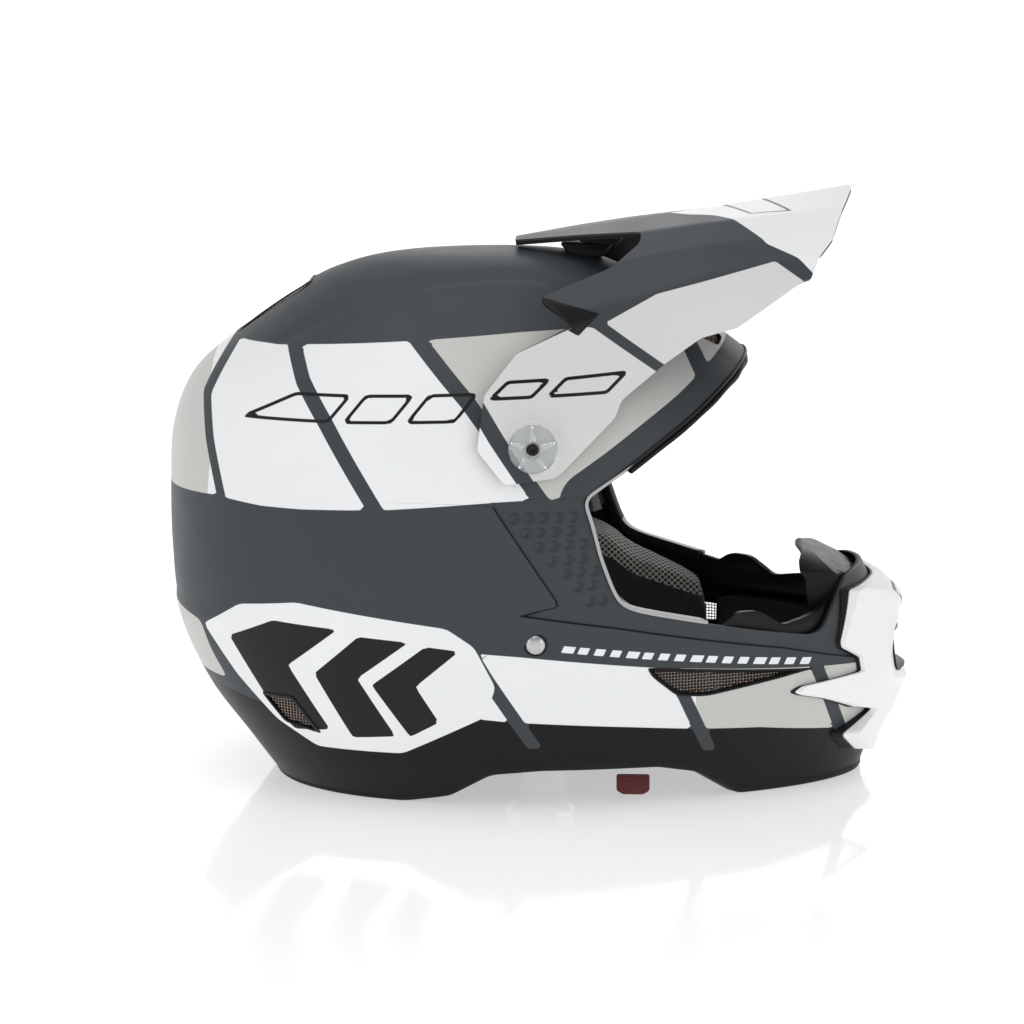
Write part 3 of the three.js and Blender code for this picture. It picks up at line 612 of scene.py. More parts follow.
BADGE_BARS = [[(-147, 80), (-124, 91), (-92, 89), (-117, 69), (-97, 37), (-115, 35), (-126, 46)],
              [(-82, 86), (-58, 84), (-83, 65), (-65, 36), (-86, 34), (-104, 66)],
              [(-50, 82), (-34, 80), (-55, 62), (-44, 44), (-58, 36), (-76, 62)]]
SIDE_MARKS = [[(-138, 187.5), (-112, 199.5), (-86, 199.8), (-96, 188)],
              [(-88, 188), (-78, 200), (-56, 200.6), (-66, 188.6)],
              [(-58, 188.8), (-48, 200.8), (-26, 201.6), (-36, 189.4)]]
CHIN_DASHES = [(14 + 7.6 * k, 80.6 - 0.94 * k) for k in range(16)]


def path_distance(points, path):
    """How far rows of two coordinates are from an open path."""
    nearest = np.full(len(points), np.inf)
    for a, b in zip(np.array(path[:-1], float), np.array(path[1:], float)):
        along = b - a
        t = np.clip(((points - a) @ along) / (along @ along), 0, 1)
        nearest = np.minimum(nearest, np.linalg.norm(points - a - t[:, None] * along, axis=1))
    return nearest


def any_of(*fields):
    """The field that is above 0 where any of these is."""
    return np.maximum.reduce(fields)


def all_of(*fields):
    """The field that is above 0 where all of these are."""
    return np.minimum.reduce(fields)


def shell_graphics(side):
    """The colour fields at rows of x, z."""
    dark_top, dark_middle = above_line(side, TOP_LINE), -above_line(side, MIDDLE_LINE)
    chin = inside_distance(side, rounded(CHIN_BAND, 1.5))
    stripe = any_of(*[width / 2 - path_distance(side, path) for path, width in STRIPES])
    low_stripe = any_of(*[w / 2 - path_distance(side, path) for path, w in CHIN_STRIPES])
    low_stripe = all_of(low_stripe, side[:, 1] - 29 - 0.06 * (20 - side[:, 0]))
    rear = inside_distance(side, rounded(REAR_WHITE, 3))
    brow = 11.5 - np.abs(inside_distance(side, rounded(EYEPORT, 3)))
    brow = all_of(brow, side[:, 1] - 150)
    slate = any_of(dark_top, all_of(dark_middle, -chin, -rear), stripe, brow,
                   all_of(low_stripe, chin + 9))
    rear_pale = all_of(-155.0 - side[:, 0] - 0.1 * np.abs(side[:, 1] - 170), side[:, 1] - 140)
    front_pale = all_of(above_line(side[:, ::-1], FRONT_PALE_LINE), side[:, 1] - 140)
    chin_pale = all_of(chin, side[:, 0] - 78)
    pale = any_of(rear_pale, front_pale, chin_pale, rear)
    black = all_of(-above_line(side, LOW_LINE), -low_stripe)
    badge = inside_distance(side, rounded(BADGE, 2.5))
    ink = any_of(*[inside_distance(side, rounded(bar, 1.2)) for bar in BADGE_BARS])
    marks = any_of(*[inside_distance(side, rounded(mark, 1.5)) for mark in SIDE_MARKS])
    return {"pale": pale, "slate": slate, "black": black, "badge": badge, "ink": ink,
            "mark": marks}


# ------------------------------------------------------------------ shell
INK = srgb(24, 24, 25)
# The "seam" layer is painted shade: a thin near-black line along the sunk cheek panel's edge, standing for
# the shadow in its step.
SHELL_PAINT = paint("shell_paint", WHITE, [
    ("pale", srgb(201, 202, 198), 0.42), ("slate", SLATE, 0.47), ("black", BLACK, 0.36),
    ("badge", WHITE, 0.36), ("ink", INK, 0.34), ("mark", INK, 0.34, 0.75),
    ("seam", srgb(14, 15, 17), 0.5, 0.42), ("inside", BLACK, 0.6)], 0.4)
SHELL_WALL, CHEEK_SINK = 3.5, 0.8
skin = Skin(fineness(2.4))


def shell_relief(side, plan, middle):
    """How far the shell's surface stands from the plain form: soft creases beside the top's spine and
    a step above the rear's lower band. The cheek is sunk apart from this, in shell."""
    top = np.clip((middle[:, 2] - 205) / 25, 0, 1)
    beside = np.abs(plan[:, 1]) - (52 - 0.1 * plan[:, 0])
    spine = -1.1 * np.exp(-(beside / 5) ** 2) * top
    ledge = np.clip((-150 - side[:, 0]) / 12, 0, 1) * np.clip((89 - side[:, 1]) / 3, -1, 0) * 0.9
    return spine + ledge * np.exp(-np.clip(side[:, 1] - 89, 0, 200) / 14)


def shell():
    side = skin.side
    relief = shell_relief(side, skin.plan, skin.middle)
    outer, inner = skin.layer(relief), skin.layer(-SHELL_WALL)
    on_top = skin.middle[:, 2] > 190
    plan = np.abs(skin.plan) * [0, 1] + skin.plan * [1, 0]
    openings = [-inside_distance(side, rounded(EYEPORT, 4)),
                above_line(side, LOWER_EDGE) - 2.4,
                -inside_distance(side, rounded(CHIN_INTAKE, 3)),
                -inside_distance(side, rounded(REAR_EXHAUST, 2)),
                np.where(on_top, -inside_distance(skin.plan, rounded(REAR_PORT, 4)), 9),
                np.where(on_top, -inside_distance(plan, rounded(BROW_PORT, 3)), 9),
                np.where(skin.middle[:, 0] > 120,
                         -inside_distance(skin.nose, rounded(MOUTH_PORT, 3)), 9)]
    cheek = inside_distance(side, rounded(CHEEK_PANEL, 1))
    colours = shell_graphics(side)
    # a thin dark line painted as shade in the step round the sunk cheek panel, below z 151
    colours["seam"] = np.where(side[:, 1] < 151, cheek, 9)
    points, solid_faces, fields = [], [], []
    sunk = skin.layer(relief - CHEEK_SINK)
    for field, surface in ((-cheek, outer), (cheek, sunk)):
        high, low, faces, named = skin.piece(surface, inner, [*openings, field], colours)
        both, closed = thickened(high, low, faces)
        named["inside"] = np.full(len(high), -1.0)
        solid_faces.append(closed + sum(len(p) for p in points))
        points.append(both)
        fields.append({k: np.concatenate([v, np.full(len(v), 1.0 if k == "inside" else -5.0)])
                       for k, v in named.items()})
    named = {k: np.concatenate([f[k] for f in fields]) for k in fields[0]}
    piece = make("shell", np.vstack(points), np.vstack(solid_faces), SHELL_PAINT, 35, named)
    finish_piece(piece, "helmet", "shell_paint", "outer_shell")


shell()


# ------------------------------------------------------------------ swept, turned and woven meshes
def unit(rows):
    """Vectors made 1 long."""
    rows = np.asarray(rows, float)
    return rows / np.maximum(np.linalg.norm(rows, axis=-1, keepdims=True), 1e-9)


def merged(parts):
    """Several meshes, each points and faces, as one."""
    points, faces, count = [], [], 0
    for some, around in parts:
        points.append(np.asarray(some, float))
        faces += [[k + count for k in face] for face in around]
        count += len(some)
    return np.vstack(points), faces


def swept(path, across, up, section, around=False):
    """A closed section, rows of two lengths along across and up, carried along a path."""
    path, section = np.asarray(path, float), np.asarray(section, float)
    across, up = np.broadcast_to(across, path.shape), np.broadcast_to(up, path.shape)
    n, m = len(path), len(section)
    points = (path[:, None] + section[None, :, :1] * across[:, None]
              + section[None, :, 1:] * up[:, None])
    faces = [[i * m + k, i * m + (k + 1) % m, (i + 1) % n * m + (k + 1) % m, (i + 1) % n * m + k]
             for i in range(n if around else n - 1) for k in range(m)]
    if not around:
        faces += [list(range(m))[::-1], [(n - 1) * m + k for k in range(m)]]
    return points.reshape(-1, 3), faces


def ring_section(radius, sides):
    """A round section."""
    angles = np.linspace(0, 2 * np.pi, sides, endpoint=False)
    return np.stack([np.cos(angles), np.sin(angles)], 1) * radius


def tangents(path, around=False):
    """The direction of a path at each of its points."""
    path = np.asarray(path, float)
    if around:
        return unit(np.roll(path, -1, 0) - np.roll(path, 1, 0))
    return unit(np.gradient(path, axis=0))


def tube(path, radius, up, sides, around=False):
    """A round wire along a path."""
    along = tangents(path, around)
    across = unit(np.cross(along, np.broadcast_to(up, along.shape)))
    return swept(path, across, np.cross(across, along), ring_section(radius, sides), around)


def turned(profile, origin, axis, steps=48, closed=False):
    """A profile of radius, height turned round an axis."""
    axis = unit(axis)
    a = unit(np.cross(axis, (0.3, 0.5, 0.81)))
    b = np.cross(axis, a)
    angles = np.linspace(0, 2 * np.pi, steps, endpoint=False)
    points, rows = [], []
    for radius, height in profile:
        middle = np.asarray(origin, float) + axis * height
        if radius < 1e-6:
            rows.append([len(points)] * steps)
            points.append(middle)
        else:
            rows.append(list(range(len(points), len(points) + steps)))
            round_it = np.cos(angles)[:, None] * a + np.sin(angles)[:, None] * b
            points += list(middle + radius * round_it)
    faces = []
    for r, s in zip(rows, rows[1:] + rows[:1] if closed else rows[1:]):
        for k in range(steps):
            face = [r[k], r[(k + 1) % steps], s[(k + 1) % steps], s[k]]
            faces.append([v for i, v in enumerate(face) if v != face[i - 1]])
    return np.array(points), faces


def slab(outline, place, low, high, bevel):
    """A closed plate with eased edges: an outline of two numbers, put in place at each height."""
    outline = np.asarray(outline, float)
    middle = outline.mean(0)
    size = np.linalg.norm(outline - middle, axis=1).mean()
    inset = middle + (outline - middle) * (1 - bevel / size)
    levels = [(inset, low), (outline, low + bevel), (outline, high - bevel), (inset, high)]
    points = np.vstack([place(o[:, 0], o[:, 1], h) for o, h in levels])
    n = len(outline)
    faces = [[i * n + k, i * n + (k + 1) % n, (i + 1) * n + (k + 1) % n, (i + 1) * n + k]
             for i in range(3) for k in range(n)]
    return points, faces + [list(range(n))[::-1], [3 * n + k for k in range(n)]]


def lengths_along(path):
    """How far along a path each of its points is."""
    return np.concatenate([[0], np.cumsum(np.linalg.norm(np.diff(path, axis=0), axis=1))])


def resampled(path, step, around=True):
    """A path's points at even steps."""
    path = np.asarray(path, float)
    closed = np.vstack([path, path[:1]]) if around else path
    arc = lengths_along(closed)
    at = np.linspace(0, arc[-1], max(int(arc[-1] / step), 4) + 1)
    if around:
        at = at[:-1]
    return np.stack([np.interp(at, arc, closed[:, k]) for k in range(closed.shape[1])], 1)


def eased(path, turns, around=True):
    """A path with its corners smoothed."""
    for _ in range(turns):
        if around:
            path = (np.roll(path, 1, 0) + 2 * path + np.roll(path, -1, 0)) / 4
        else:
            inner = (path[:-2] + 2 * path[1:-1] + path[2:]) / 4
            path = np.concatenate([path[:1], inner, path[-1:]])
    return path


def on_side(side):
    """side_point for one side, as a place to put outlines."""
    return lambda x, z, offset: side_point(x, z, offset, side)


def form_normal(place, u, v):
    """The form's outward direction at places u, v."""
    return unit(place(u, v, 1.0) - place(u, v, -1.0))


def edging(outline, place, offset, section, step=1.5):
    """A section carried round an outline on the form. Its first number runs into the outline."""
    path = resampled(outline, step)
    here = place(path[:, 0], path[:, 1], offset)
    up = form_normal(place, path[:, 0], path[:, 1])
    inward = unit(np.cross(up, tangents(here, True)))
    towards = here.mean(0) - here
    if np.sum(towards * inward) < 0:
        inward = -inward
    return swept(here, inward, up, section, around=True)


def crossings(outline, axis, value):
    """Where a line, axis = value, crosses an outline, as pairs along the other axis."""
    found = []
    for a, b in zip(outline, np.roll(outline, -1, 0)):
        if (a[axis] > value) != (b[axis] > value):
            t = (value - a[axis]) / (b[axis] - a[axis])
            found.append(a[1 - axis] + t * (b[1 - axis] - a[1 - axis]))
    found.sort()
    return list(zip(found[::2], found[1::2]))


def woven(outline, place, offset, pitch=1.5, wire=0.27, wave=0.3):
    """Wires over and under each other in both directions, on the form inside an outline."""
    outline = np.asarray(outline, float)
    parts = []
    for axis in (0, 1):
        low, high = outline[:, axis].min(), outline[:, axis].max()
        for i, value in enumerate(np.arange(low + pitch / 2, high, pitch)):
            for start, stop in crossings(outline, axis, value):
                if stop - start < 1:
                    continue
                at = np.linspace(start, stop, max(int((stop - start) / pitch * 3), 3))
                uv = (np.full(len(at), value), at) if axis == 0 else (at, np.full(len(at), value))
                up = form_normal(place, *uv)
                sway = wave * np.cos(np.pi * at / pitch + np.pi * (i + axis))
                path = place(*uv, offset) + up * sway[:, None]
                parts.append(tube(path, wire, up, sides=5))
    return merged(parts)


# ------------------------------------------------------------------ plain materials
def moulded(name, color, roughness, grain, strength, coat=0.0):
    """Moulded plastic or rubber with a fine grain and slightly uneven tone."""
    shade = Shade(name, color, roughness, Coat_Weight=coat, IOR=1.3)
    light = tuple(c * 1.06 + 0.002 for c in color)
    uneven = shade.step(shade.noise(60, 4), 0.3, 0.7)
    shade.to("Base Color", shade.mix(uneven, darker(color, 0.94), light))
    worn = shade.noise(90, 3)
    shade.to("Roughness", shade.step(worn, 0.25, 0.75, roughness - 0.05, roughness + 0.06))
    fine = shade.bump(shade.noise(grain * 2, 2), strength, 0.0002)
    shade.to("Normal", shade.bump(shade.noise(grain / 3, 3), strength * 0.5, 0.0005, fine))
    return shade.material


def metal(name, color, roughness):
    """Drawn metal with fine lines along its height."""
    shade = Shade(name, color, roughness, Metallic=1.0)
    lines = shade.noise(1, 3, place=shade.stretched(600, 600, 60))
    shade.to("Roughness", shade.step(lines, 0.3, 0.7, roughness - 0.07, roughness + 0.1))
    shade.to("Base Color", shade.mix(shade.noise(40, 3), darker(color, 0.86), color))
    shade.to("Normal", shade.bump(lines, 0.06, 0.0002))
    return shade.material


BEAD = 3.4  # mm across


def foam(name, color):
    """Expanded bead foam: small cells pressed flat against each other."""
    shade = Shade(name, color, 0.85)
    bead = shade.cells(1000 / BEAD)
    edge = shade.cells(1000 / BEAD, feature="DISTANCE_TO_EDGE")
    dark = darker(color, 0.72)
    shade.to("Base Color", shade.mix(shade.step(edge, 0.0, 0.12), dark, color))
    shade.to("Roughness", shade.step(bead, 0, 0.8, 0.7, 0.92))
    shade.to("Normal", shade.bump(shade.step(edge, 0, 0.3), 0.35, 0.0006))
    return shade.material


def spacer_mesh(name, color, hole, size, below=None):
    """Open knit spacer fabric: round holes in rows between raised yarn. Where the attribute "rim" is
    below 0, a plain brushed cloth of the colour below is sewn on instead; such a pad slopes inward at
    its face, so its rows follow that slope."""
    shade = Shade(name, color, 0.82, Sheen_Weight=0.2, Sheen_Roughness=0.5)
    turn = shade.node("ShaderNodeMapping")
    shade.link(shade.place, turn.inputs["Vector"])
    turn.inputs["Rotation"].default_value = (0.62, 0.28, 0.78)
    if below:
        parts = shade.node("ShaderNodeSeparateXYZ")
        slope = shade.node("ShaderNodeCombineXYZ")
        shade.link(shade.place, parts.inputs[0])
        shade.link(parts.outputs["X"], slope.inputs["X"])
        inward = shade.math("MULTIPLY", shade.math("ABSOLUTE", parts.outputs["Y"]), 0.45)
        shade.link(shade.math("ADD", inward, parts.outputs["Z"]), slope.inputs["Y"])
        shade.link(slope.outputs[0], turn.inputs["Vector"])
        turn.inputs["Rotation"].default_value = (0, 0, 0.78)
    cell = shade.cells(1000 / size, turn.outputs[0], loose=0.0)
    yarn = shade.noise(2600, 3)
    knit = shade.step(cell, 0.3, 0.48)
    tone = shade.mix(shade.step(yarn, 0.3, 0.7), darker(color, 0.7), color)
    look = shade.mix(knit, hole, tone)
    height = shade.math("ADD", shade.step(cell, 0.2, 0.5), shade.math("MULTIPLY", yarn, 0.25))
    if below:
        rim = shade.step(shade.attribute("rim"), -0.3, 0.3)
        nap = shade.step(shade.noise(1900, 3), 0.2, 0.8)
        look = shade.mix(rim, shade.mix(nap, darker(below, 0.7), below), look)
        height = shade.math("ADD", shade.math("MULTIPLY", height, rim),
                            shade.math("MULTIPLY", yarn, 0.3))
    shade.to("Base Color", look)
    shade.to("Normal", shade.bump(height, 0.5, 0.0008))
    shade.to("Roughness", shade.step(yarn, 0.2, 0.8, 0.72, 0.92))
    return shade.material


def brushed_knit(name, color, sheen):
    """Brushed lining cloth: a close knit under a short nap."""
    shade = Shade(name, color, 0.88, Sheen_Weight=sheen, Sheen_Roughness=0.4)
    rows = shade.math("MULTIPLY", shade.wave(330, "X"), shade.wave(330, "Z", distortion=0.6))
    nap = shade.noise(1900, 3)
    light = tuple(c * 1.25 + 0.002 for c in color)
    uneven = shade.step(shade.noise(45, 4), 0.25, 0.75)
    shade.to("Base Color", shade.mix(uneven, darker(color, 0.75), light))
    shade.to("Roughness", shade.step(nap, 0.2, 0.8, 0.78, 0.95))
    fine = shade.bump(nap, 0.25, 0.0003)
    shade.to("Normal", shade.bump(rows, 0.3, 0.0004, fine))
    return shade.material


def webbing(name, color):
    """Flat woven strap: ribs across it, with slanting yarns."""
    shade = Shade(name, color, 0.7, Sheen_Weight=0.2, Coat_Weight=0.1)
    ribs = shade.wave(260, "Z")
    slant = shade.wave(420, "DIAGONAL", distortion=1.2)
    shade.to("Base Color", shade.mix(shade.step(slant, 0.2, 0.8), darker(color, 0.6), color))
    shade.to("Roughness", shade.step(ribs, 0, 1, 0.6, 0.8))
    height = shade.math("ADD", ribs, shade.math("MULTIPLY", slant, 0.5))
    shade.to("Normal", shade.bump(height, 0.5, 0.0004))
    return shade.material


RUBBER = moulded("edge_rubber", srgb(22, 22, 24), 0.55, 700, 0.1)
PLASTIC = moulded("black_plastic", srgb(18, 18, 19), 0.36, 1200, 0.08)
WIRE = metal("vent_wire", srgb(150, 138, 130), 0.38)
BLACK_FOAM = foam("black_foam", srgb(24, 24, 26))
PALE_FOAM = foam("pale_foam", srgb(92, 92, 94))
DAMPER = moulded("damper_rubber", srgb(150, 44, 36), 0.5, 500, 0.1, coat=0.1)
STEEL = metal("bare_steel", srgb(196, 198, 200), 0.26)
BLACK_STEEL = metal("black_steel", srgb(48, 48, 50), 0.4)
LINING = spacer_mesh("lining_mesh", srgb(62, 62, 62), srgb(16, 16, 17), 2.2)
PAD_CLOTH = brushed_knit("pad_cloth", srgb(24, 24, 26), 0.15)
STRAP_CLOTH = webbing("strap_webbing", srgb(28, 28, 31))
TAB_CLOTH = webbing("tab_webbing", srgb(98, 18, 23))
CHEEK_CLOTH = spacer_mesh("cheek_cloth", srgb(176, 174, 168), srgb(26, 25, 24), 2.3,
                          srgb(18, 18, 19))
THREAD = brushed_knit("thread", srgb(120, 120, 120), 0.1)


def dress(node, material):
    """A better material on a CAD solid that is shown as it is."""
    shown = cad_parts[node]
    shown.data.materials.clear()
    shown.data.materials.append(material)


# ------------------------------------------------------------------ edge rubbers
def in_order(held):
    """The indices of a closed path's points that a mask holds, from one end of that stretch."""
    keep = np.flatnonzero(held)
    gaps = np.flatnonzero(np.diff(keep) > 1)
    return np.roll(keep, -(int(gaps[0]) + 1)) if len(gaps) else keep


def border_path(keep, above):
    """The border that a field cuts in the form, above a height: its points and normals."""
    low, high, faces, _ = skin.piece(skin.layer(0), skin.layer(1), [keep])
    best = max((loop for loop in loops(faces) if low[loop, 2].max() > above), key=len)
    both = eased(resampled(np.hstack([low[best], high[best]]), 2.0), 3)
    return both[:, :3], unit(both[:, 3:] - both[:, :3])


EYEPORT_TRIM_END = 84  # the greatest x of the bead's two front ends


def eyeport_trim():
    """The bead round the eyeport, open at the chin bar, and the gasket inside the brow."""
    path, up = border_path(-inside_distance(skin.side, rounded(EYEPORT, 4)), 190)
    out = unit(np.cross(tangents(path, True), up))
    section = [(-0.3, 0.35), (-0.3, 0.5), (-0.1, 0.7), (0.3, 0.8), (0.8, 0.75), (1.3, 0.5), (1.5, 0.0),
               (2.0, -4.6), (1.8, -5.6), (1.1, -6.0), (-3.4, -6.0), (-4.3, -5.3), (-4.3, -3.95),
               (0.3, -3.95), (0.3, 0.35)]
    order = in_order((path[:, 0] <= EYEPORT_TRIM_END) | (path[:, 2] >= 130))
    points, faces = swept(path[order], out[order], up[order], section)
    # the pale layer "light" is a painted highlight on the bead's crest, narrowing to nothing up the rear
    # edge and at the two front ends; below the sill it also paints the bead's inner wall pale
    crest_highlight = np.minimum((168 - path[order, 2]) * 0.12, 2.4)
    crest_highlight = np.minimum(crest_highlight, (EYEPORT_TRIM_END + 2 - path[order, 0]) * 0.35)
    sill = np.clip((112 - path[order, 2]) / 5, 0, 1) * (path[order, 0] > 40)
    depth = np.array([2.2, 1.6, 0.8, 0, 0, 0.6, 1.6] + [12] * 8)
    wall = np.array([0.0] * 7 + [10.4, 9.0] + [0] * 6)
    light = (crest_highlight[:, None] - depth + wall * sill[:, None]).ravel()
    # the "light" layer: a painted highlight along the crest, and a pale band on the sill's inner wall
    look = paint("eyeport_rubber_painted_highlight", srgb(24, 24, 26), [("light", srgb(178, 179, 178), 0.3)], 0.5)
    piece = make("eyeport_edge", points, faces, look, 40, {"light": light})
    finish_piece(piece, "helmet", "edge_rubber", "eyeport_trim")
    # the soft gasket that folds back inside the brow
    order = in_order(path[:, 2] > 168)
    arc = np.linspace(0, 1, len(order))
    bulge = 1 + 0.35 * np.cos(arc * 2 * np.pi * 9) * np.sin(arc * np.pi)
    middle = path[order] + out[order] * (2.6 + 0.8 * bulge)[:, None] - up[order] * 3.4
    lip = ring_section(2.0, 12) * (0.8, 1.25)
    gasket = make("brow_gasket", *swept(middle, out[order], up[order], lip), RUBBER, 60)
    finish_piece(gasket, "helmet", "edge_rubber")


def base_trim():
    """The rubber channel round the lower edge."""
    path, up = border_path(above_line(skin.side, LOWER_EDGE), -1)
    out = unit(np.cross(tangents(path, True), up))
    section = [(-11, 0.35), (-10.9, 0.9), (-10.2, 1.35), (-8.6, 1.6), (-4.6, 1.25), (-3.2, 1.55),
               (-1.4, 1.45), (-0.4, 0.8), (0, -0.4), (0, -5.8), (-0.5, -6.7), (-1.6, -7), (-9.8, -7),
               (-11, -6.2), (-11, -3.9), (-2.3, -3.9), (-2.3, 0.35)]
    piece = make("base_edge", *swept(path, out, up, section, around=True), RUBBER, 40)
    finish_piece(piece, "helmet", "edge_rubber", "base_trim")


# ------------------------------------------------------------------ vents
BEZEL = [(0.15, 0.25), (0.9, 0.3), (1.9, -0.9), (2.0, -3.3), (0.15, -3.3)]


def vents():
    """Each opening's plastic frame and wire mesh."""
    for outline, radius, stem in ((CHIN_INTAKE, 3, "chin_intake"), (REAR_EXHAUST, 2, "rear_exhaust")):
        for word, side in SIDES:
            shape = rounded(outline, radius)
            rim = make(f"{stem}_bezel_{word}", *edging(shape, on_side(side), 0, BEZEL), PLASTIC, 40)
            finish_piece(rim, "helmet", "black_plastic")
            node = f"{stem}_mesh_{word}"
            net = make(f"{stem}_net_{word}", *woven(shape, on_side(side), -1.9), WIRE, 80)
            finish_piece(net, "helmet", "vent_mesh", node)
    mirror = [(x, -y) for x, y in BROW_PORT]
    for outline, radius, name, node in ((REAR_PORT, 4, "rear_port", "rear_port_mesh"),
                                        (BROW_PORT, 3, "brow_port_left", "brow_vent_mesh_left"),
                                        (mirror, 3, "brow_port_right", "brow_vent_mesh_right")):
        shape = rounded(outline, radius)
        rim = make(f"{name}_bezel", *edging(shape, top_point, 0, BEZEL), PLASTIC, 40)
        finish_piece(rim, "helmet", "black_plastic")
        net = make(f"{name}_net", *woven(shape, top_point, -2.0, 1.8), WIRE, 80)
        finish_piece(net, "helmet", "vent_mesh", node)
    shape = rounded(MOUTH_PORT, 3)
    net = make("mouth_net", *woven(shape, front_point, -1.2), WIRE, 80)
    finish_piece(net, "helmet", "vent_mesh", "mouth_vent_mesh")


# ------------------------------------------------------------------ cheek panel's dimples
DIMPLES = [(-8, 144.2), (-1.2, 144.3), (5.6, 144.4), (12.6, 144.5), (19.4, 144.5), (-2.4, 137.2),
           (4, 137.3), (11, 137.6), (18.2, 138), (3.4, 130.4), (10.4, 130.8), (17.2, 131.2), (24, 131.5),
           (9.8, 123.6), (16.8, 124.1), (23.8, 124.6), (16, 117.4), (22.8, 118), (29.4, 118.3),
           (21.8, 110.9), (28.4, 111.5), (27.4, 103.6), (33.2, 104)]


def dimples():
    """Raised rings in rows on both cheeks."""
    parts = []
    profile = [(2.75, -0.3), (2.75, 0.12), (2.5, 0.3), (2.2, 0.3), (1.9, 0.1), (1.5, -0.02),
               (0, -0.02), (0, -0.3)]
    for _, side in SIDES:
        place = on_side(side)
        for x, z in DIMPLES:
            up = form_normal(place, np.array([x]), np.array([z]))[0]
            parts.append(turned(profile[::-1], place(x, z, -0.75)[0], up, 20))
    look = paint("dimple_paint", srgb(54, 58, 62), [], 0.42)
    piece = make("cheek_dimples", *merged(parts), look, 40)
    finish_piece(piece, "helmet", "shell_paint")


def chin_dashes():
    """A row of small slanted bars printed along the chin bar."""
    parts = []
    for _, side in SIDES:
        for k, (x, z) in enumerate(CHIN_DASHES):
            wide = 4.6 if k % 4 else 5.6
            bar = rounded([(x, z - 1.6), (x + wide, z - 1.6 - 0.12 * wide),
                           (x + wide + 1.5, z + 1.6 - 0.12 * wide), (x + 1.5, z + 1.6)], 0.3, 2)
            parts.append(slab(bar, lambda u, v, h, s=side: side_point(u, v, h, s), -0.3, 0.09, 0.03))
    piece = make("chin_print", *merged(parts), paint("print", WHITE, [], 0.35), 40)
    finish_piece(piece, "helmet", "shell_paint")


def across_middle(u, v, h):
    return np.stack([u, np.full(len(u), h), v], 1)


def peak_bracket():
    """The block under the fin that keeps the peak off the crown."""
    parts = []
    for low, high, wide in (((14, 255.8), (33, 262.5), 9), ((20, 262), (40, 268), 12)):
        outline = rounded([(low[0], low[1] + 1.5), (high[0] - 2, low[1]), (high[0] + 3, high[1]),
                           (low[0] - 4, high[1])], 1.2)
        parts.append(slab(outline, across_middle, -wide, wide, 0.8))
    piece = make("peak_bracket", *merged(parts), PLASTIC, 40)
    finish_piece(piece, "peak", "black_plastic")


eyeport_trim()
base_trim()
vents()
dimples()
chin_dashes()
peak_bracket()


# ------------------------------------------------------------------ peak
# Half cross-sections of the peak's outer surface: x, then y, z from the middle down to the side.
PEAK_STATIONS = [
    (-40, [(0, 260), (40, 258), (78, 252), (97, 240), (110, 222), (119, 204), (125.6, 184), (127, 150)]),
    (-12, [(0, 265), (42, 263), (80, 254), (100, 240), (112, 222), (120, 204), (125.8, 184), (127, 150)]),
    (20, [(0, 270.2), (44, 268), (80, 257), (101, 240), (109, 224), (116.5, 205), (122, 184), (123, 150)]),
    (50, [(0, 275), (45, 272), (78, 262), (97, 246), (103, 232), (108, 212), (110, 196), (111, 150)]),
    (80, [(0, 279.5), (42, 276), (70, 267), (88, 255), (95, 243), (99, 227), (100, 215), (101, 150)]),
    (110, [(0, 284.5), (36, 279), (60, 270), (76, 260), (83, 250), (87, 238), (89, 225), (91, 150)]),
    (154, [(0, 292), (26, 283), (44, 274), (58, 266), (66, 256), (71, 244), (74, 232), (78, 150)]),
]
PEAK_MIDDLE = [(-12, 262), (-12, 290), (154, 320), (170, 292), (154, 280), (120, 230), (52, 230),
               (34, 262.2)]
PEAK_SIDE = [(50, 268), (36, 258), (3, 245), (20, 232.5), (-7, 221), (-22, 202), (-25, 177), (-12, 161),
             (11, 164), (14, 166), (39, 191), (42, 199), (58, 212), (63, 216), (79, 227), (96, 231),
             (128, 252), (170, 262), (170, 320), (50, 300)]
PEAK_FRONT = [(0, 152.5), (3, 152.5), (53, 142), (73, 132), (140, 98)]  # y, greatest x
FIN_WIDTH = [(-12, 11), (52, 47), (170, 47)]  # x, half width
PEAK_GAP, PEAK_WALL, BOSS_RADIUS, BOSS_HEIGHT = 2.4, 2.8, 12.6, 1.8
PIVOT_FACE = abs(side_point(PIVOT[0], PIVOT[1], 0)[0, 1])


def softened(rows, turns):
    """Rows of a grid, each drawn towards its neighbours."""
    for _ in range(turns):
        padded = np.concatenate([rows[:1], rows, rows[-1:]])
        rows = (padded[:-2] + 2 * padded[1:-1] + padded[2:]) / 4
    return rows


def peak_grid(step):
    """Outer surface of the right half, rows along x and columns from the middle down."""
    xs = np.linspace(-40, 154, int(194 / step) + 1)
    stations = np.array([side for _, side in PEAK_STATIONS], float)
    at = np.array([x for x, _ in PEAK_STATIONS], float)
    arc = lengths_along(stations[3])
    even = np.interp(np.linspace(0, arc[-1], int(arc[-1] / step)), arc, np.arange(8))
    first = np.minimum(even.astype(int), 6)
    t = (even - first)[None, :, None]
    across = stations[:, first] * (1 - t) + stations[:, first + 1] * t
    rows = np.stack([[np.interp(xs, at, across[:, j, k]) for j in range(len(even))] for k in (0, 1)])
    y, z = rows[0].T, rows[1].T
    y, z = softened(y, 9), softened(z, 9)
    y, z = softened(y.T, 3).T, softened(z.T, 3).T
    y[:, 0] = 0
    x = np.repeat(xs[:, None], len(even), 1)
    return x, y, z


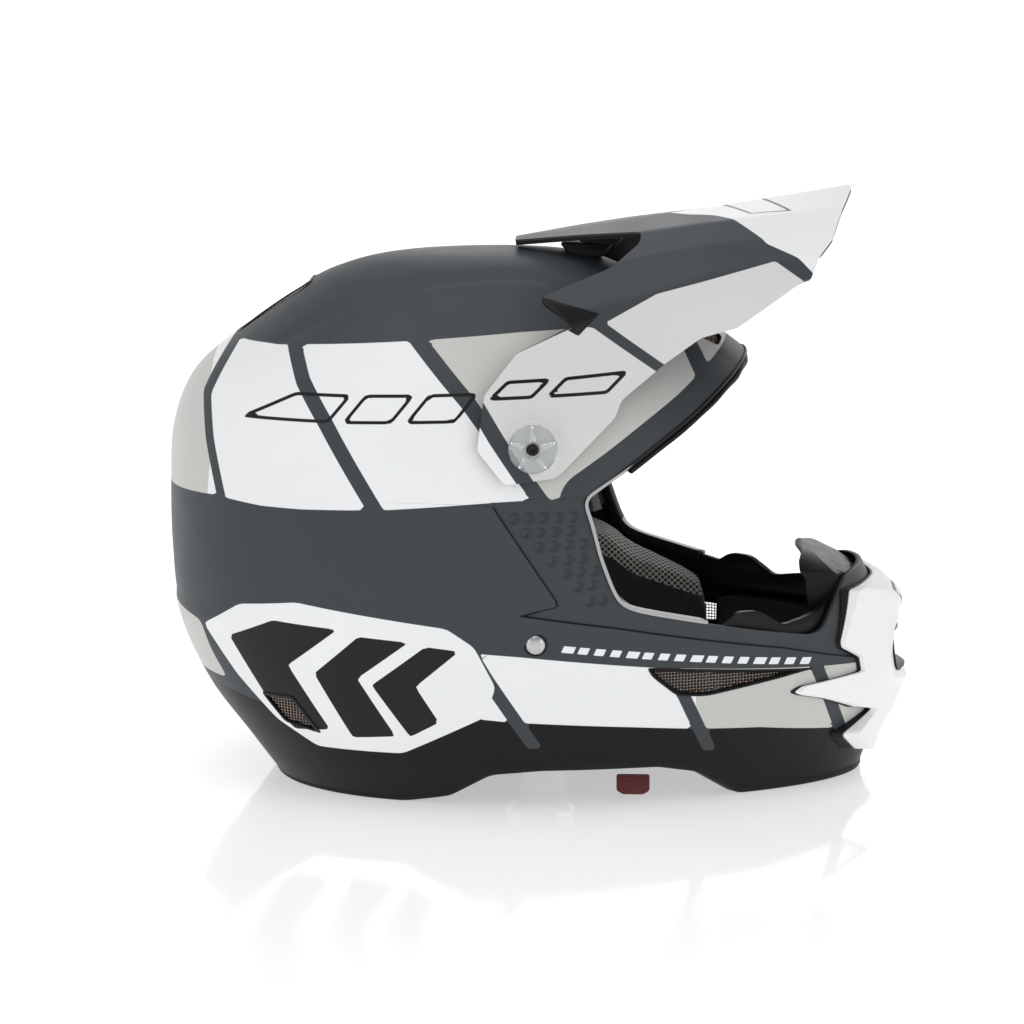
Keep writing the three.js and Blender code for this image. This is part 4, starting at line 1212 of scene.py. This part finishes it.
STRIPE_ON_ARM = [(-30, 206), (-26, 198), (-16, 182), (3, 154)]
PEAK_PANEL = [(34, 234.4), (58, 247.2), (114, 260.8), (140, 243), (120, 205), (68, 210.8)]
ARM_PALE = [(28.5, 232.2), (60, 210.6), (60, 150), (-60, 150), (-60, 246), (3, 246), (22, 233)]
SCOOP_MOUTH = [(0, 246.4), (31.5, 238.6), (21.5, 228.5), (15, 232)]
ARM_MARKS = [[(-19, 200.5), (-11, 208), (8, 209), (0, 201.3)],
             [(8, 201.7), (16, 209.5), (44, 212), (35, 203)]]
TIP_MARK = [(86, -9), (103, 29), (122, 29), (105, -9)]  # x, distance from the middle
ARM_FOLD = [(-60, 228), (-21, 209.5), (-9, 219), (60, 262)]
WHITE_FROM = [(150, 6), (182, -16), (198, -26), (240, -40)]  # z, x
TIP_EDGE = [(0, 64), (13, 73), (24, 85), (63, 110), (73, 132), (90, 160)]


def peak():
    """The peak with its arms: one moulded sheet, thick as its solid, with a sunk scoop mouth."""
    x, y, z = peak_grid(fineness(1.5))
    rows, columns = x.shape
    run = np.gradient(np.stack([x, y, z], 2), axis=0)
    fall = np.gradient(np.stack([x, y, z], 2), axis=1)
    out = unit(np.cross(fall, run))
    out *= np.sign(np.sum(out * (0, 1, 0.3), axis=2, keepdims=True))
    surface = np.stack([x, y, z], 2).reshape(-1, 3)
    out = out.reshape(-1, 3)
    side = surface[:, [0, 2]]
    mouth = np.clip(inside_distance(side, SCOOP_MOUTH), 0, 5)
    low = np.clip(surface[:, 2], 5, 255)
    on_arm = (surface[:, 0] < 40) & (surface[:, 2] < 232)
    arm = side_point(surface[:, 0], low, PEAK_GAP + PEAK_WALL)[:, 1]
    under = side_point(surface[:, 0], low, PEAK_GAP)[:, 1]
    away = np.hypot(surface[:, 0] - PIVOT[0], surface[:, 2] - PIVOT[1])
    seat = PIVOT_FACE + PEAK_GAP + PEAK_WALL + BOSS_HEIGHT
    inner = surface - out * PEAK_WALL
    outer = surface - out * np.minimum(mouth * 0.5, 1.9)[:, None]
    blend = np.clip((40 - surface[:, 0]) / 14, 0, 1) * np.clip((238 - surface[:, 2]) / 12, 0, 1)
    grown = np.maximum(outer[:, 1], arm)
    outer[:, 1] = np.where(on_arm, outer[:, 1] + (grown - outer[:, 1]) * blend, outer[:, 1])
    boss = np.clip((BOSS_RADIUS + 0.5 - away) / 1.2, 0, 1)
    outer[:, 1] += (np.maximum(seat, outer[:, 1]) - outer[:, 1]) * boss
    # a long shallow fold down the arm
    fold = np.clip(1 - np.abs(above_line(side, ARM_FOLD)) / 2.2, 0, 1) * 0.5
    outer -= out * (fold * (on_arm & (mouth < 0.1)))[:, None]
    upright = on_arm & (np.abs(out[:, 1]) > 0.5)
    inner[:, 1] = np.where(upright, np.minimum(under, outer[:, 1] - 1.6), inner[:, 1])
    inner[:, 1] = np.maximum(inner[:, 1], 0)
    wide = surface[:, 1]
    middle = np.minimum(inside_distance(side, PEAK_MIDDLE),
                        0.87 * (np.interp(surface[:, 0], *zip(*FIN_WIDTH)) - wide))
    flank = np.minimum(inside_distance(side, rounded(PEAK_SIDE, 2)),
                       np.maximum(surface[:, 0] - 60, wide - 46.5))
    front = 0.85 * (np.interp(wide, *zip(*PEAK_FRONT)) - surface[:, 0])
    keep = [np.minimum(np.maximum(middle, flank), front), away - 3.6]
    tip = 0.75 * (surface[:, 0] - np.interp(wide, *zip(*TIP_EDGE)))
    panel = inside_distance(side, rounded(PEAK_PANEL, 0.8))
    sloped = inside_distance(side, ARM_PALE)
    stripe = 3.6 - path_distance(side, STRIPE_ON_ARM)
    ahead = above_line(side[:, ::-1], WHITE_FROM)
    chevron = inside_distance(surface[:, :2], TIP_MARK)
    bars = any_of(*[inside_distance(side, rounded(mark, 1.2)) for mark in ARM_MARKS])
    # Inside the scoop mouth the sheet is painted near black: painted shade in the vent's opening.
    fields = {
        "white": all_of(sloped, -ahead), "pale": any_of(panel, all_of(sloped, ahead)),
        "stripe": all_of(sloped, stripe), "tip": tip, "black": inside_distance(side, SCOOP_MOUTH),
        "mark": np.where(surface[:, 2] > 262, chevron, bars)}
    faces = grid_faces(rows, columns)
    data = np.hstack([outer, inner, np.stack([*keep, *fields.values()], 1)])
    # the left half is the right half's mirror image, and the two share their middle line
    count = len(data)
    mirror = data.copy()
    mirror[:, [1, 4]] *= -1
    left = np.where(np.arange(count) % columns == 0, np.arange(count), np.arange(count) + count)
    data, faces = np.vstack([data, mirror]), np.vstack([faces, left[faces][:, ::-1]])
    data, faces = clip_all(data, faces, 6, 2)
    points, solid_faces = thickened(data[:, :3], data[:, 3:6], faces)
    unpainted = np.full(len(data), -5.0)
    values = {name: np.concatenate([data[:, 8 + k], unpainted]) for k, name in enumerate(fields)}
    values["under"] = np.repeat([-1.0, 2.0], len(data))
    # the "black" layer, near black inside the scoop mouth, is painted shade
    look = paint("peak_paint", SLATE, [
        ("white", WHITE, 0.4), ("pale", srgb(216, 217, 215), 0.42), ("stripe", SLATE, 0.46),
        ("tip", WHITE, 0.38), ("black", srgb(12, 12, 13), 0.5), ("mark", srgb(20, 20, 21), 0.34, 0.8),
        ("under", srgb(24, 24, 26), 0.55)], 0.46)
    piece = make("peak_visor", points, solid_faces, look, 32, values)
    finish_piece(piece, "peak", "peak_paint", "peak")


# ------------------------------------------------------------------ chin guard and mouthpiece
CHIN_GUARD = [(200, 97), (165, 98.5), (158, 97.5), (150.5, 73), (151, 70), (160.5, 64), (161.5, 56.5),
              (132, 54), (128.5, 51.5), (132, 49.5), (142, 46.5), (168.5, 35.5), (158, 25.5), (166, 15),
              (200, 15)]
NOSE = [(166, 14), (166.5, 15), (171, 25), (179, 36), (183.4, 48), (178, 62), (176.5, 74),
        (181.5, 87.5), (170, 96), (158, 99.5)]
NOSE_PLAN = [(0, 183.4), (9, 183.4), (46, 160), (78, 120), (90, 105)]


def smooth_min(a, b, width):
    """The smaller of two fields, with the corner between them rounded over a width."""
    h = np.clip(0.5 + 0.5 * (b - a) / width, 0, 1)
    return b + (a - b) * h - width * h * (1 - h)


def chin_guard():
    """The white guard over the chin bar: a creased nose that sweeps back into pointed ends."""
    step = fineness(0.9)
    ys = np.linspace(-84, 84, int(168 / step))
    zs = np.linspace(14, 99.5, int(85 / step))
    y, z = (g.ravel() for g in np.meshgrid(ys, zs))
    profile = np.interp(z, *zip(*[(h, x) for x, h in NOSE]))
    plan = np.interp(np.abs(y), *zip(*NOSE_PLAN))
    nose = smooth_min(profile, plan - 0.02 * np.abs(z - 48), 3)
    over = front_point(y, z, 2.6)[:, 0]
    outer_x = -smooth_min(-over, -nose, 2.5)
    outer_x = softened(outer_x.reshape(len(zs), len(ys)), 2).ravel()
    # a raised frame round the mouth opening, and shallow flutes below it
    opening = inside_distance(np.stack([y, z], 1), rounded(MOUTH_PORT, 3))
    outer_x += 1.1 * np.exp(-((opening + 4.5) / 2.2) ** 2)
    flute = np.clip(np.cos(y / 6.4 * np.pi) - 0.2, 0, 1) * np.exp(-((z - 38) / 9) ** 2)
    outer_x -= flute * 1.0 * (np.abs(y) < 32)
    inner = front_point(y, z, 0.35)
    outer = np.stack([outer_x, y, z], 1)
    side = outer[:, [0, 2]]
    keep = [inside_distance(side, rounded(CHIN_GUARD, 1.2)), -opening]
    data = np.hstack([outer, inner, np.stack(keep, 1)])
    faces = grid_faces(len(zs), len(ys))
    data, faces = clip_all(data, faces, 6, 2)
    points, solid_faces = thickened(data[:, :3], data[:, 3:6], faces)
    line = inside_distance(points[:, 1:3], [(-9, 79), (-13, 91), (13, 91), (9, 79)])
    line = np.where(points[:, 0] > 165, line, -9)
    look = paint("guard_paint", srgb(250, 250, 250), [
        ("mark", INK, 0.34, 0.7), ("under", srgb(20, 20, 21), 0.5)], 0.36)
    under = np.repeat([-1.6, 1.3], len(points) // 2)
    piece = make("chin_guard_shell", points, solid_faces, look, 28, {"mark": line, "under": under})
    finish_piece(piece, "helmet", "guard_paint", "chin_guard")
    # the frame inside the mouth opening
    frame_section = [(-0.6, 1.6), (0.8, 1.8), (1.6, 0.4), (1.8, -4.2), (-0.6, -4.2)]
    frame_mesh = edging(rounded(MOUTH_PORT, 3), front_point, 3.0, frame_section)
    rim = make("mouth_bezel", *frame_mesh, PLASTIC, 40)
    finish_piece(rim, "helmet", "black_plastic")


BAR_BAND = [(88, 74), (88, 86), (98, 93), (108, 92.5), (120, 84), (138, 88), (152, 101),
            (180, 101), (180, 74)]
DEFLECTOR_FRONT = [(83, 152), (91, 161), (100.5, 158.5), (110.8, 138.5), (112.8, 132.5)]
DEFLECTOR_REAR = [(83, 146), (86, 139.6), (101, 138), (108.5, 132.2), (112.8, 131)]


def mouthpiece():
    """The black inner bar piece: a band inside the chin bar and an upright breath deflector."""
    bar = Skin(fineness(1.3), 70, 104, 1.45).look_at(-6)
    edge = inside_distance(bar.side, rounded(BAR_BAND, 3))
    roll = np.exp(-np.clip(edge, 0, 9) / 1.6)
    rib = np.exp(-((bar.side[:, 1] - 88) / 1.2) ** 2) * 0.7
    front, rear = bar.layer(-4.7 - 1.5 * roll), bar.layer(-9.4 + 1.2 * roll - rib)
    outer, inner, faces, _ = bar.piece(front, rear, [edge])
    piece = make("bar_band", *thickened(outer, inner, faces), PLASTIC, 40)
    finish_piece(piece, "helmet", "black_plastic", "mouthpiece")
    step = fineness(1.0)
    ys, zs = np.linspace(-38, 38, int(76 / step)), np.linspace(83, 112.8, int(30 / step))
    y, z = (g.ravel() for g in np.meshgrid(ys, zs))
    back = (np.abs(y) / 38) ** 2.4 * 7
    front = np.interp(z, *zip(*DEFLECTOR_FRONT)) - back * 0.8
    rear = np.interp(z, *zip(*DEFLECTOR_REAR)) - back
    ribs = np.clip(np.cos(y / 7.5 * np.pi), 0, 1) ** 4
    ribs = ribs * np.clip((108 - z) / 6, 0, 1) * np.clip((z - 86) / 3, 0, 1)
    inside_form = front_point(y, z, -4.9)[:, 0]
    front = np.minimum(front + 0.8 * ribs, inside_form)
    thin = np.clip((front - rear) / 2, 0.7, 2.4)
    hollow = np.clip((106 - z) / 8, 0, 1)
    hollow = hollow * np.clip(front - rear - 4.5, 0, 9) * np.exp(-(y / 22) ** 4)
    rear_face = rear + hollow
    top = 112.8 - (np.abs(y) / 38) ** 3 * 9
    keep = np.minimum(top - z, 37 - np.abs(y))
    faces = grid_faces(len(zs), len(ys))
    data = np.stack([np.maximum(front, rear_face + thin), y, z, rear_face, y, z, keep], 1)
    data, faces = clip_all(data, faces, 6, 1)
    shield = make("breath_deflector", *thickened(data[:, :3], data[:, 3:6], faces), PLASTIC, 35)
    finish_piece(shield, "helmet", "black_plastic")


# ------------------------------------------------------------------ foam liners
LINER_END = [(-220, -40), (-220, 52), (-92, 52), (-66, 114), (220, 114), (220, -40)]
COMFORT_END = [(-220, -40), (-220, 48), (-95, 48), (-70, 117), (220, 117), (220, -40)]


def liners():
    """The two foam layers, the quilted lining and the chin bar's foam."""
    whole = Skin(fineness(3.0))
    for name, node, material, slot, high, low, gap in (
            ("outer_foam", "outer_foam_liner", BLACK_FOAM, "black_foam", -5.9, -17.9, 7),
            ("inner_foam", "inner_foam_liner", PALE_FOAM, "pale_foam", -25.1, -35.9, 8)):
        whole.look_at((high + low) / 2)
        side = whole.side
        keep = [-inside_distance(side, rounded(EYEPORT, 6)) - gap,
                -inside_distance(side, LINER_END)]
        groove = np.exp(-((np.abs(whole.plan[:, 1]) - 30) / 4) ** 2)
        groove = groove * np.clip((side[:, 1] - 200) / 20, 0, 1)
        outer, inner, faces, _ = whole.piece(whole.layer(high), whole.layer(low + 2.5 * groove), keep)
        piece = make(name, *thickened(outer, inner, faces), material, 50)
        finish_piece(piece, "helmet", slot, node)
    whole.look_at(-41)
    side, plan = whole.side, whole.plan
    seams = np.minimum.reduce([np.abs(side[:, 0] - x) for x in (-128, -86, -44, -2, 40)]
                              + [np.abs(side[:, 1] - z) for z in (150, 196)]
                              + [np.where(side[:, 1] > 196, np.abs(np.abs(plan[:, 1]) - 22), 99)])
    end = -inside_distance(side, COMFORT_END)
    port = -inside_distance(side, rounded(EYEPORT, 6)) - 9
    hem = np.clip(np.minimum(end, port), 0, 8)
    swell = (1 - np.exp(-(seams / 5) ** 2)) * (1 - np.exp(-hem / 2.5))
    outer, inner, faces, _ = whole.piece(whole.layer(-37.2 - 1.5 * np.exp(-hem / 1.5)),
                                         whole.layer(-41.2 - 4.2 * swell), [end, port])
    piece = make("comfort_lining", *thickened(outer, inner, faces), LINING, 60)
    finish_piece(piece, "helmet", "liner_fabric", "comfort_liner")

    bar = Skin(fineness(1.8), 14, 76, 1.5).look_at(-12)
    box = inside_distance(bar.side, rounded([(92, 16), (92, 71), (200, 71), (200, 16)], 4))
    hole = -inside_distance(bar.nose, rounded(MOUTH_PORT, 3)) - 3
    screws = all_of(*[np.hypot(bar.nose[:, 0] - y, bar.nose[:, 1] - 40) - 5.5 for y in (-30, 30)])
    slot = -(2.2 - np.abs(bar.side[:, 1] - 44)) * 0.5
    round_in = 3.0 * np.exp(-np.clip(np.minimum(box, hole), 0, 9) / 2.0)
    vent = np.clip(np.cos(bar.angle * 22), 0, 1) ** 6 * np.exp(-(slot / 3) ** 2)
    rear = bar.layer(-18.8 + round_in + 1.2 * vent)
    outer, inner, faces, _ = bar.piece(bar.layer(-5.2), rear, [box, hole, screws])
    piece = make("bar_foam", *thickened(outer, inner, faces), BLACK_FOAM, 50)
    finish_piece(piece, "helmet", "black_foam", "chin_bar_liner")


# ------------------------------------------------------------------ pads
def stitches(path, up, length=2.6, gap=1.5, radius=0.32):
    """Thread over a seam: short raised stitches along a path."""
    path = np.asarray(path, float)
    arc = lengths_along(path)
    parts = []
    for start in np.arange(gap, arc[-1] - length, length + gap):
        at = start + np.linspace(0, length, 5)
        here = np.stack([np.interp(at, arc, path[:, k]) for k in range(3)], 1)
        normal = np.stack([np.interp(at, arc, up[:, k]) for k in range(3)], 1)
        lift = np.array([-0.25, 0.12, 0.22, 0.12, -0.25])
        parts.append(tube(here + unit(normal) * lift[:, None], radius, unit(normal), sides=6))
    return merged(parts)


PRESSURE, LAST_FRAME, SHRUNK = 4.0, 20, 0.985
INSIDE_BOX = 0.2  # mm that a pad stays inside its solid's box


def puffed(name, node, body, material, voxel=4.5, cap=4.0):
    """A stuffed pad grown from its solid, slightly smaller: remeshed, blown up as cloth by at most
    cap, and smoothed."""
    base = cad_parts[node]
    mesh = base.data.copy()
    mesh.materials.clear()
    pad = bpy.data.objects.new(name, mesh)
    bpy.context.scene.collection.objects.link(pad)
    low, high = (np.array(corner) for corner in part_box(node))
    middle = (low + high) / 2
    mesh.transform(Matrix.Translation(middle) @ Matrix.Scale(SHRUNK, 4) @ Matrix.Translation(-middle))
    remesh = pad.modifiers.new("remesh", "REMESH")
    remesh.mode, remesh.voxel_size = "VOXEL", voxel * MM
    smooth = pad.modifiers.new("smooth", "SMOOTH")
    smooth.factor, smooth.iterations = 0.5, 3
    bake(pad)
    rest = vertex_rows(pad.data)
    cloth = pad.modifiers.new("cloth", "CLOTH")
    settings = cloth.settings
    settings.use_pressure, settings.uniform_pressure_force = True, PRESSURE
    settings.effector_weights.gravity = 0
    settings.tension_stiffness = settings.compression_stiffness = 22
    settings.bending_stiffness = 0.6
    cloth.point_cache.frame_start, cloth.point_cache.frame_end = 1, LAST_FRAME
    for step in range(1, LAST_FRAME + 1):
        bpy.context.scene.frame_set(step)
    bake(pad)
    bpy.context.scene.frame_set(1)
    moved = vertex_rows(pad.data) - rest
    length = np.linalg.norm(moved, axis=1, keepdims=True)
    limit = cap * MM
    capped = limit * np.tanh(length / limit) / np.maximum(length, 1e-9)
    moved *= np.where(length > 1e-9, capped, 0)
    pad.data.vertices.foreach_set("co", (rest + moved).ravel())
    rows = vertex_rows(pad.data)
    inside = np.clip(rows, low + INSIDE_BOX * MM, high - INSIDE_BOX * MM)
    pad.data.vertices.foreach_set("co", inside.ravel())
    finer = pad.modifiers.new("finer", "SUBSURF")
    finer.levels = finer.render_levels = 1
    bake(pad)
    pad.data.materials.clear()
    pad.data.materials.append(material)
    pad.data.polygons.foreach_set("use_smooth", np.ones(len(pad.data.polygons), bool))
    finish_piece(pad, body, "pad_fabric", node)
    return pad


def bake(piece):
    """Leaves a piece's mesh as its modifiers shape it, with no modifier left."""
    shaped = piece.evaluated_get(bpy.context.evaluated_depsgraph_get())
    mesh = bpy.data.meshes.new_from_object(shaped)
    piece.modifiers.clear()
    piece.data = mesh


def vertex_rows(mesh):
    rows = np.empty(len(mesh.vertices) * 3)
    mesh.vertices.foreach_get("co", rows)
    return rows.reshape(-1, 3)


PAD_TOP = [(-60, 92), (-52, 98), (-40, 109), (24, 109), (36, 104), (46, 96), (60, 91), (82, 83),
           (90, 60)]


def rim_of(pad):
    """How far a pad's points are above the seam between its cheek cloth and its mesh top."""
    rows = vertex_rows(pad.data) / MM
    seam = np.interp(rows[:, 0], *zip(*PAD_TOP)) - 12 + 0.03 * (rows[:, 0] - 20)
    layer = pad.data.attributes.new("rim", "FLOAT", "POINT")
    layer.data.foreach_set("value", (rows[:, 2] - seam).astype(np.float32))


STRAP_HALF, RINGS_HALF, SWING = 11, 17.5, math.radians(12.2)
STRAP_ROOM, WALL_SHIFT = 1.0, 3.5  # clear of the strap, and the most that a wall is moved


def clear_of_strap(pad):
    """Keeps the walls of a pad's slot out of the wedge that the strap and its rings swing through."""
    rows = vertex_rows(pad.data) / MM
    across = rows[:, 0] - RIVET[0]
    by_rings = (rows[:, 2] < 34) & (np.abs(rows[:, 1]) < 82)
    half = np.where(by_rings, RINGS_HALF, STRAP_HALF) + STRAP_ROOM
    depth = half + np.maximum(RIVET[1] - rows[:, 2], 0) * math.tan(SWING) - np.abs(across)
    rows[:, 0] += np.where((depth > 0) & (depth < WALL_SHIFT), depth, 0) * np.sign(across)
    pad.data.vertices.foreach_set("co", (rows * MM).ravel())
    pad.data.update()


def pads():
    for word, _ in SIDES:
        node = f"cheek_pad_{word}"
        pad = puffed(f"cheek_cushion_{word}", node, node, CHEEK_CLOTH)
        clear_of_strap(pad)
        rim_of(pad)
    puffed("neck_cushion", "neck_roll", "helmet", PAD_CLOTH, voxel=4.0)
    puffed("chin_curtain", "chin_skirt", "helmet", PAD_CLOTH, voxel=3.0, cap=2.0)


# ------------------------------------------------------------------ straps, rings, screws and rivets
STRAP_FACE = abs(side_point(*RIVET, 0)[0, 1]) - 13.6
LONG_STRAP = [(STRAP_FACE, 78), (STRAP_FACE, 58), (101, 46), (91, 37), (76, 28.5), (60, 22), (40, 15.5),
              (20, 12), (-10, 10), (-30, 9.2), (-35.5, 9.7), (-38.6, 11.6), (-39, 14.2), (-37, 16.6),
              (-33, 17.3), (-10, 16.2), (6, 16.5)]
SHORT_STRAP = [(-STRAP_FACE, 78), (-STRAP_FACE, 58), (-101, 46), (-91, 37), (-76, 28.5), (-63, 22.5),
               (-56, 19.6)]
RING_LONG, RING_SHORT = (-51.6, 19.2), (-50.4, 15.6)
RING_HALF, RING_WIRE = 15.5, 1.5
RING_TIPS = ((-30.4, 21.4), (-30.4, 13.2))


STRAP_THICK = 2.0


def strap(name, path, node):
    """A stitched length of webbing along y, z."""
    rows = np.array([(RIVET[0], y, z) for y, z in path], float)
    fine = eased(resampled(rows, 1.4, around=False), 6, around=False)
    along = tangents(fine)
    up = unit(np.cross(along, (1, 0, 0)))
    w, t, e = STRAP_HALF, STRAP_THICK / 2, 0.55
    section = [(-w, -t + e), (-w, t - e), (-w + e, t), (w - e, t), (w, t - e), (w, -t + e), (w - e, -t),
               (-w + e, -t)]
    piece = make(name, *swept(fine, (1, 0, 0), up, section), STRAP_CLOTH, 50)
    finish_piece(piece, "chin_strap", "strap_webbing", node)
    rows = [stitches(fine[2:-2] + up[2:-2] * (t * sign) + (x, 0, 0), up[2:-2] * sign)
            for x in (-w + 2.2, w - 2.2) for sign in (-1, 1)]
    sewn = make(name + "_stitching", *merged(rows), THREAD, 60)
    finish_piece(sewn, "chin_strap", "strap_webbing")


def eye_loop():
    """The short strap's end, sewn round the straight bars of both rings."""
    a, b = np.array(RING_SHORT), np.array(RING_LONG)
    slope = math.atan2(*(a - b)[::-1])
    turn = np.linspace(0, np.pi, 14)
    loop = [end + 2.9 * np.array([math.cos(slope + quarter + t), math.sin(slope + quarter + t)])
            for end, quarter in ((a, -np.pi / 2), (b, np.pi / 2)) for t in turn]
    rows = resampled(np.array([(RIVET[0], y, z) for y, z in loop]), 0.8)
    up = unit(np.cross(tangents(rows, True), (1, 0, 0)))
    section = [(-9, -0.9), (-9, 0.9), (9, 0.9), (9, -0.9)]
    piece = make("ring_loop", *swept(rows, (1, 0, 0), up, section, around=True), STRAP_CLOTH, 50)
    finish_piece(piece, "chin_strap", "strap_webbing")


def d_ring(name, bar, tip, node):
    """A bent wire ring: a straight bar that the webbing holds, and a bow towards its tip."""
    start, end = np.array([RIVET[0], *bar]), np.array([RIVET[0], *tip])
    along = end - start
    turn = np.linspace(0, np.pi, 25)
    path = [start + (x, 0, 0) for x in np.linspace(-RING_HALF, RING_HALF, 12)]
    path += [start + along * (0.35 + 0.65 * math.sin(t)) + (math.cos(t) * RING_HALF, 0, 0)
             for t in turn]
    rows = eased(resampled(np.array(path), 1.0), 8)
    up = unit(np.cross(along, (1, 0, 0)))
    piece = make(name, *tube(rows, RING_WIRE, up, 14, around=True), STEEL, 60)
    finish_piece(piece, "chin_strap", "bare_steel", node)


def fixings():
    """The chin strap with its rings and rivets, and on each side the peak's screw and a release tab."""
    strap("long_strap", LONG_STRAP, "strap_long")
    strap("short_strap", SHORT_STRAP, "strap_short")
    eye_loop()
    for name, bar, tip, node in (("ring_upper", RING_LONG, RING_TIPS[0], "d_ring_upper"),
                                 ("ring_lower", RING_SHORT, RING_TIPS[1], "d_ring_lower")):
        d_ring(name, bar, tip, node)
    plate = rounded([(-9, 74), (9, 74), (11, 79), (7, 90), (-7, 90), (-11, 79)], 2)
    clear = Shade("clear_plastic", (0.93, 0.95, 0.96), 0.14, Transmission_Weight=0.82, IOR=1.49,
                  Coat_Weight=0.4)
    clear.to("Roughness", clear.step(clear.noise(70, 3), 0.3, 0.7, 0.1, 0.24))
    clear.to("Normal", clear.bump(clear.noise(350, 2), 0.12, 0.0006))
    rivet_at = abs(side_point(*RIVET, 0)[0, 1])
    for word, side in SIDES:
        def at_face(x, z, h):
            return np.stack([x, np.full(len(x), side * (STRAP_FACE + 2.1 + h)), z], 1)
        steel = slab(plate + (RIVET[0], 0), at_face, -0.7, 0.7, 0.3)
        piece = make(f"anchor_plate_{word}_steel", *steel, STEEL, 40)
        finish_piece(piece, "chin_strap", "bare_steel", f"strap_anchor_plate_{word}")
        out = (0, side, 0)
        middle = (RIVET[0], side * (rivet_at + 0.1), RIVET[1])
        head = [(0, 2.0), (1.4, 1.95), (3.0, 1.6), (4.1, 1.0), (4.6, 0.35), (4.5, 0.1), (2.2, 0.05),
                (2.2, -12), (0, -12)]
        rivet = make(f"rivet_{word}", *turned(head[::-1], middle, out, 40), STEEL, 30)
        finish_piece(rivet, "helmet", "bare_steel", f"strap_rivet_{word}")
        washer = [(4.7, 0.5), (5.3, 0.55), (5.5, 0.3), (5.5, -0.2), (4.4, -0.2), (4.4, 0.3)]
        ring = make(f"rivet_ring_{word}", *turned(washer, middle, out, 40, closed=True), PLASTIC, 30)
        finish_piece(ring, "helmet", "black_plastic")
        peak_screw(word, side, clear.material)
        tab(word, side)


def peak_screw(word, side, clear):
    """A clear thumb screw: a domed disc with five raised ribs round a dark centre screw."""
    out = np.array((0, side, 0), float)
    face = PIVOT_FACE + PEAK_GAP + PEAK_WALL + BOSS_HEIGHT
    base = np.array((PIVOT[0], side * face, PIVOT[1]))
    dome = [(3.3, -16), (3.3, 0.5), (10.6, 0.6), (11.2, 1.1), (11.3, 2.4), (10.7, 3.3), (9.0, 3.9),
            (5.2, 4.5), (4.2, 4.4), (3.9, 3.6), (2.9, 3.4), (2.9, -16)]
    body = f"peak_screw_{word}"
    piece = make(f"thumb_screw_{word}", *turned(dome, base, out, 64, closed=True), clear, 32)
    finish_piece(piece, body, "clear_screw", body)
    parts = []
    for k in range(5):
        angle = 2 * np.pi * k / 5 + np.pi / 2
        ray = np.array((math.cos(angle), 0, math.sin(angle)))
        across = np.cross(ray, out)
        path = np.array([base + ray * r + out * h for r, h in
                         ((4.0, 4.4), (5.6, 5.3), (7.6, 5.0), (9.3, 4.4), (10.6, 3.5), (11.1, 2.6))])
        wide = np.array([1.5, 1.35, 1.1, 1.0, 0.9, 0.8])
        points = np.concatenate([path + across * (wide * w)[:, None] + out * h for w, h in
                                 ((1, -0.9), (0.6, 0.0), (-0.6, 0.0), (-1, -0.9))])
        rows = points.reshape(4, len(path), 3).transpose(1, 0, 2).reshape(-1, 3)
        faces = [[i * 4 + j, i * 4 + (j + 1) % 4, i * 4 + 4 + (j + 1) % 4, i * 4 + 4 + j]
                 for i in range(len(path) - 1) for j in range(4)]
        parts.append((rows, faces + [[3, 2, 1, 0], [20, 21, 22, 23]]))
    ribs = make(f"thumb_screw_ribs_{word}", *merged(parts), clear, 40)
    finish_piece(ribs, body, "clear_screw")
    core = [(0, 2.2), (1.25, 2.2), (1.3, 3.9), (2.2, 3.95), (2.7, 3.6), (2.75, 3.0), (2.75, -16),
            (0, -16)]
    centre = make(f"thumb_screw_core_{word}", *turned(core, base, out, 32), BLACK_STEEL, 30)
    finish_piece(centre, body, "clear_screw")


TAB_FACE = 83


def tab(word, side):
    """The cheek pad's release tab, a folded end of webbing."""
    outline = rounded([(40, 5), (40, 12.9), (56, 12.9), (56, 5), (53, 3), (43, 3)], 1.2)

    def place(x, z, h):
        return np.stack([x, side * (TAB_FACE + h + 0.5 * np.cos((z - 5) * 0.6)), z], 1)

    piece = make(f"pull_tab_{word}", *slab(outline, place, -0.9, 0.5, 0.3), TAB_CLOTH, 45)
    finish_piece(piece, f"cheek_pad_{word}", "tab_webbing", f"release_tab_{word}")


chin_guard()
mouthpiece()
liners()
pads()
peak()
fixings()
for number in range(1, 13):
    dress(f"liner_damper_{number}", DAMPER)
for word, _ in SIDES:
    dress(f"peak_nut_{word}", PLASTIC)
    dress(f"guard_screw_{word}", BLACK_STEEL)
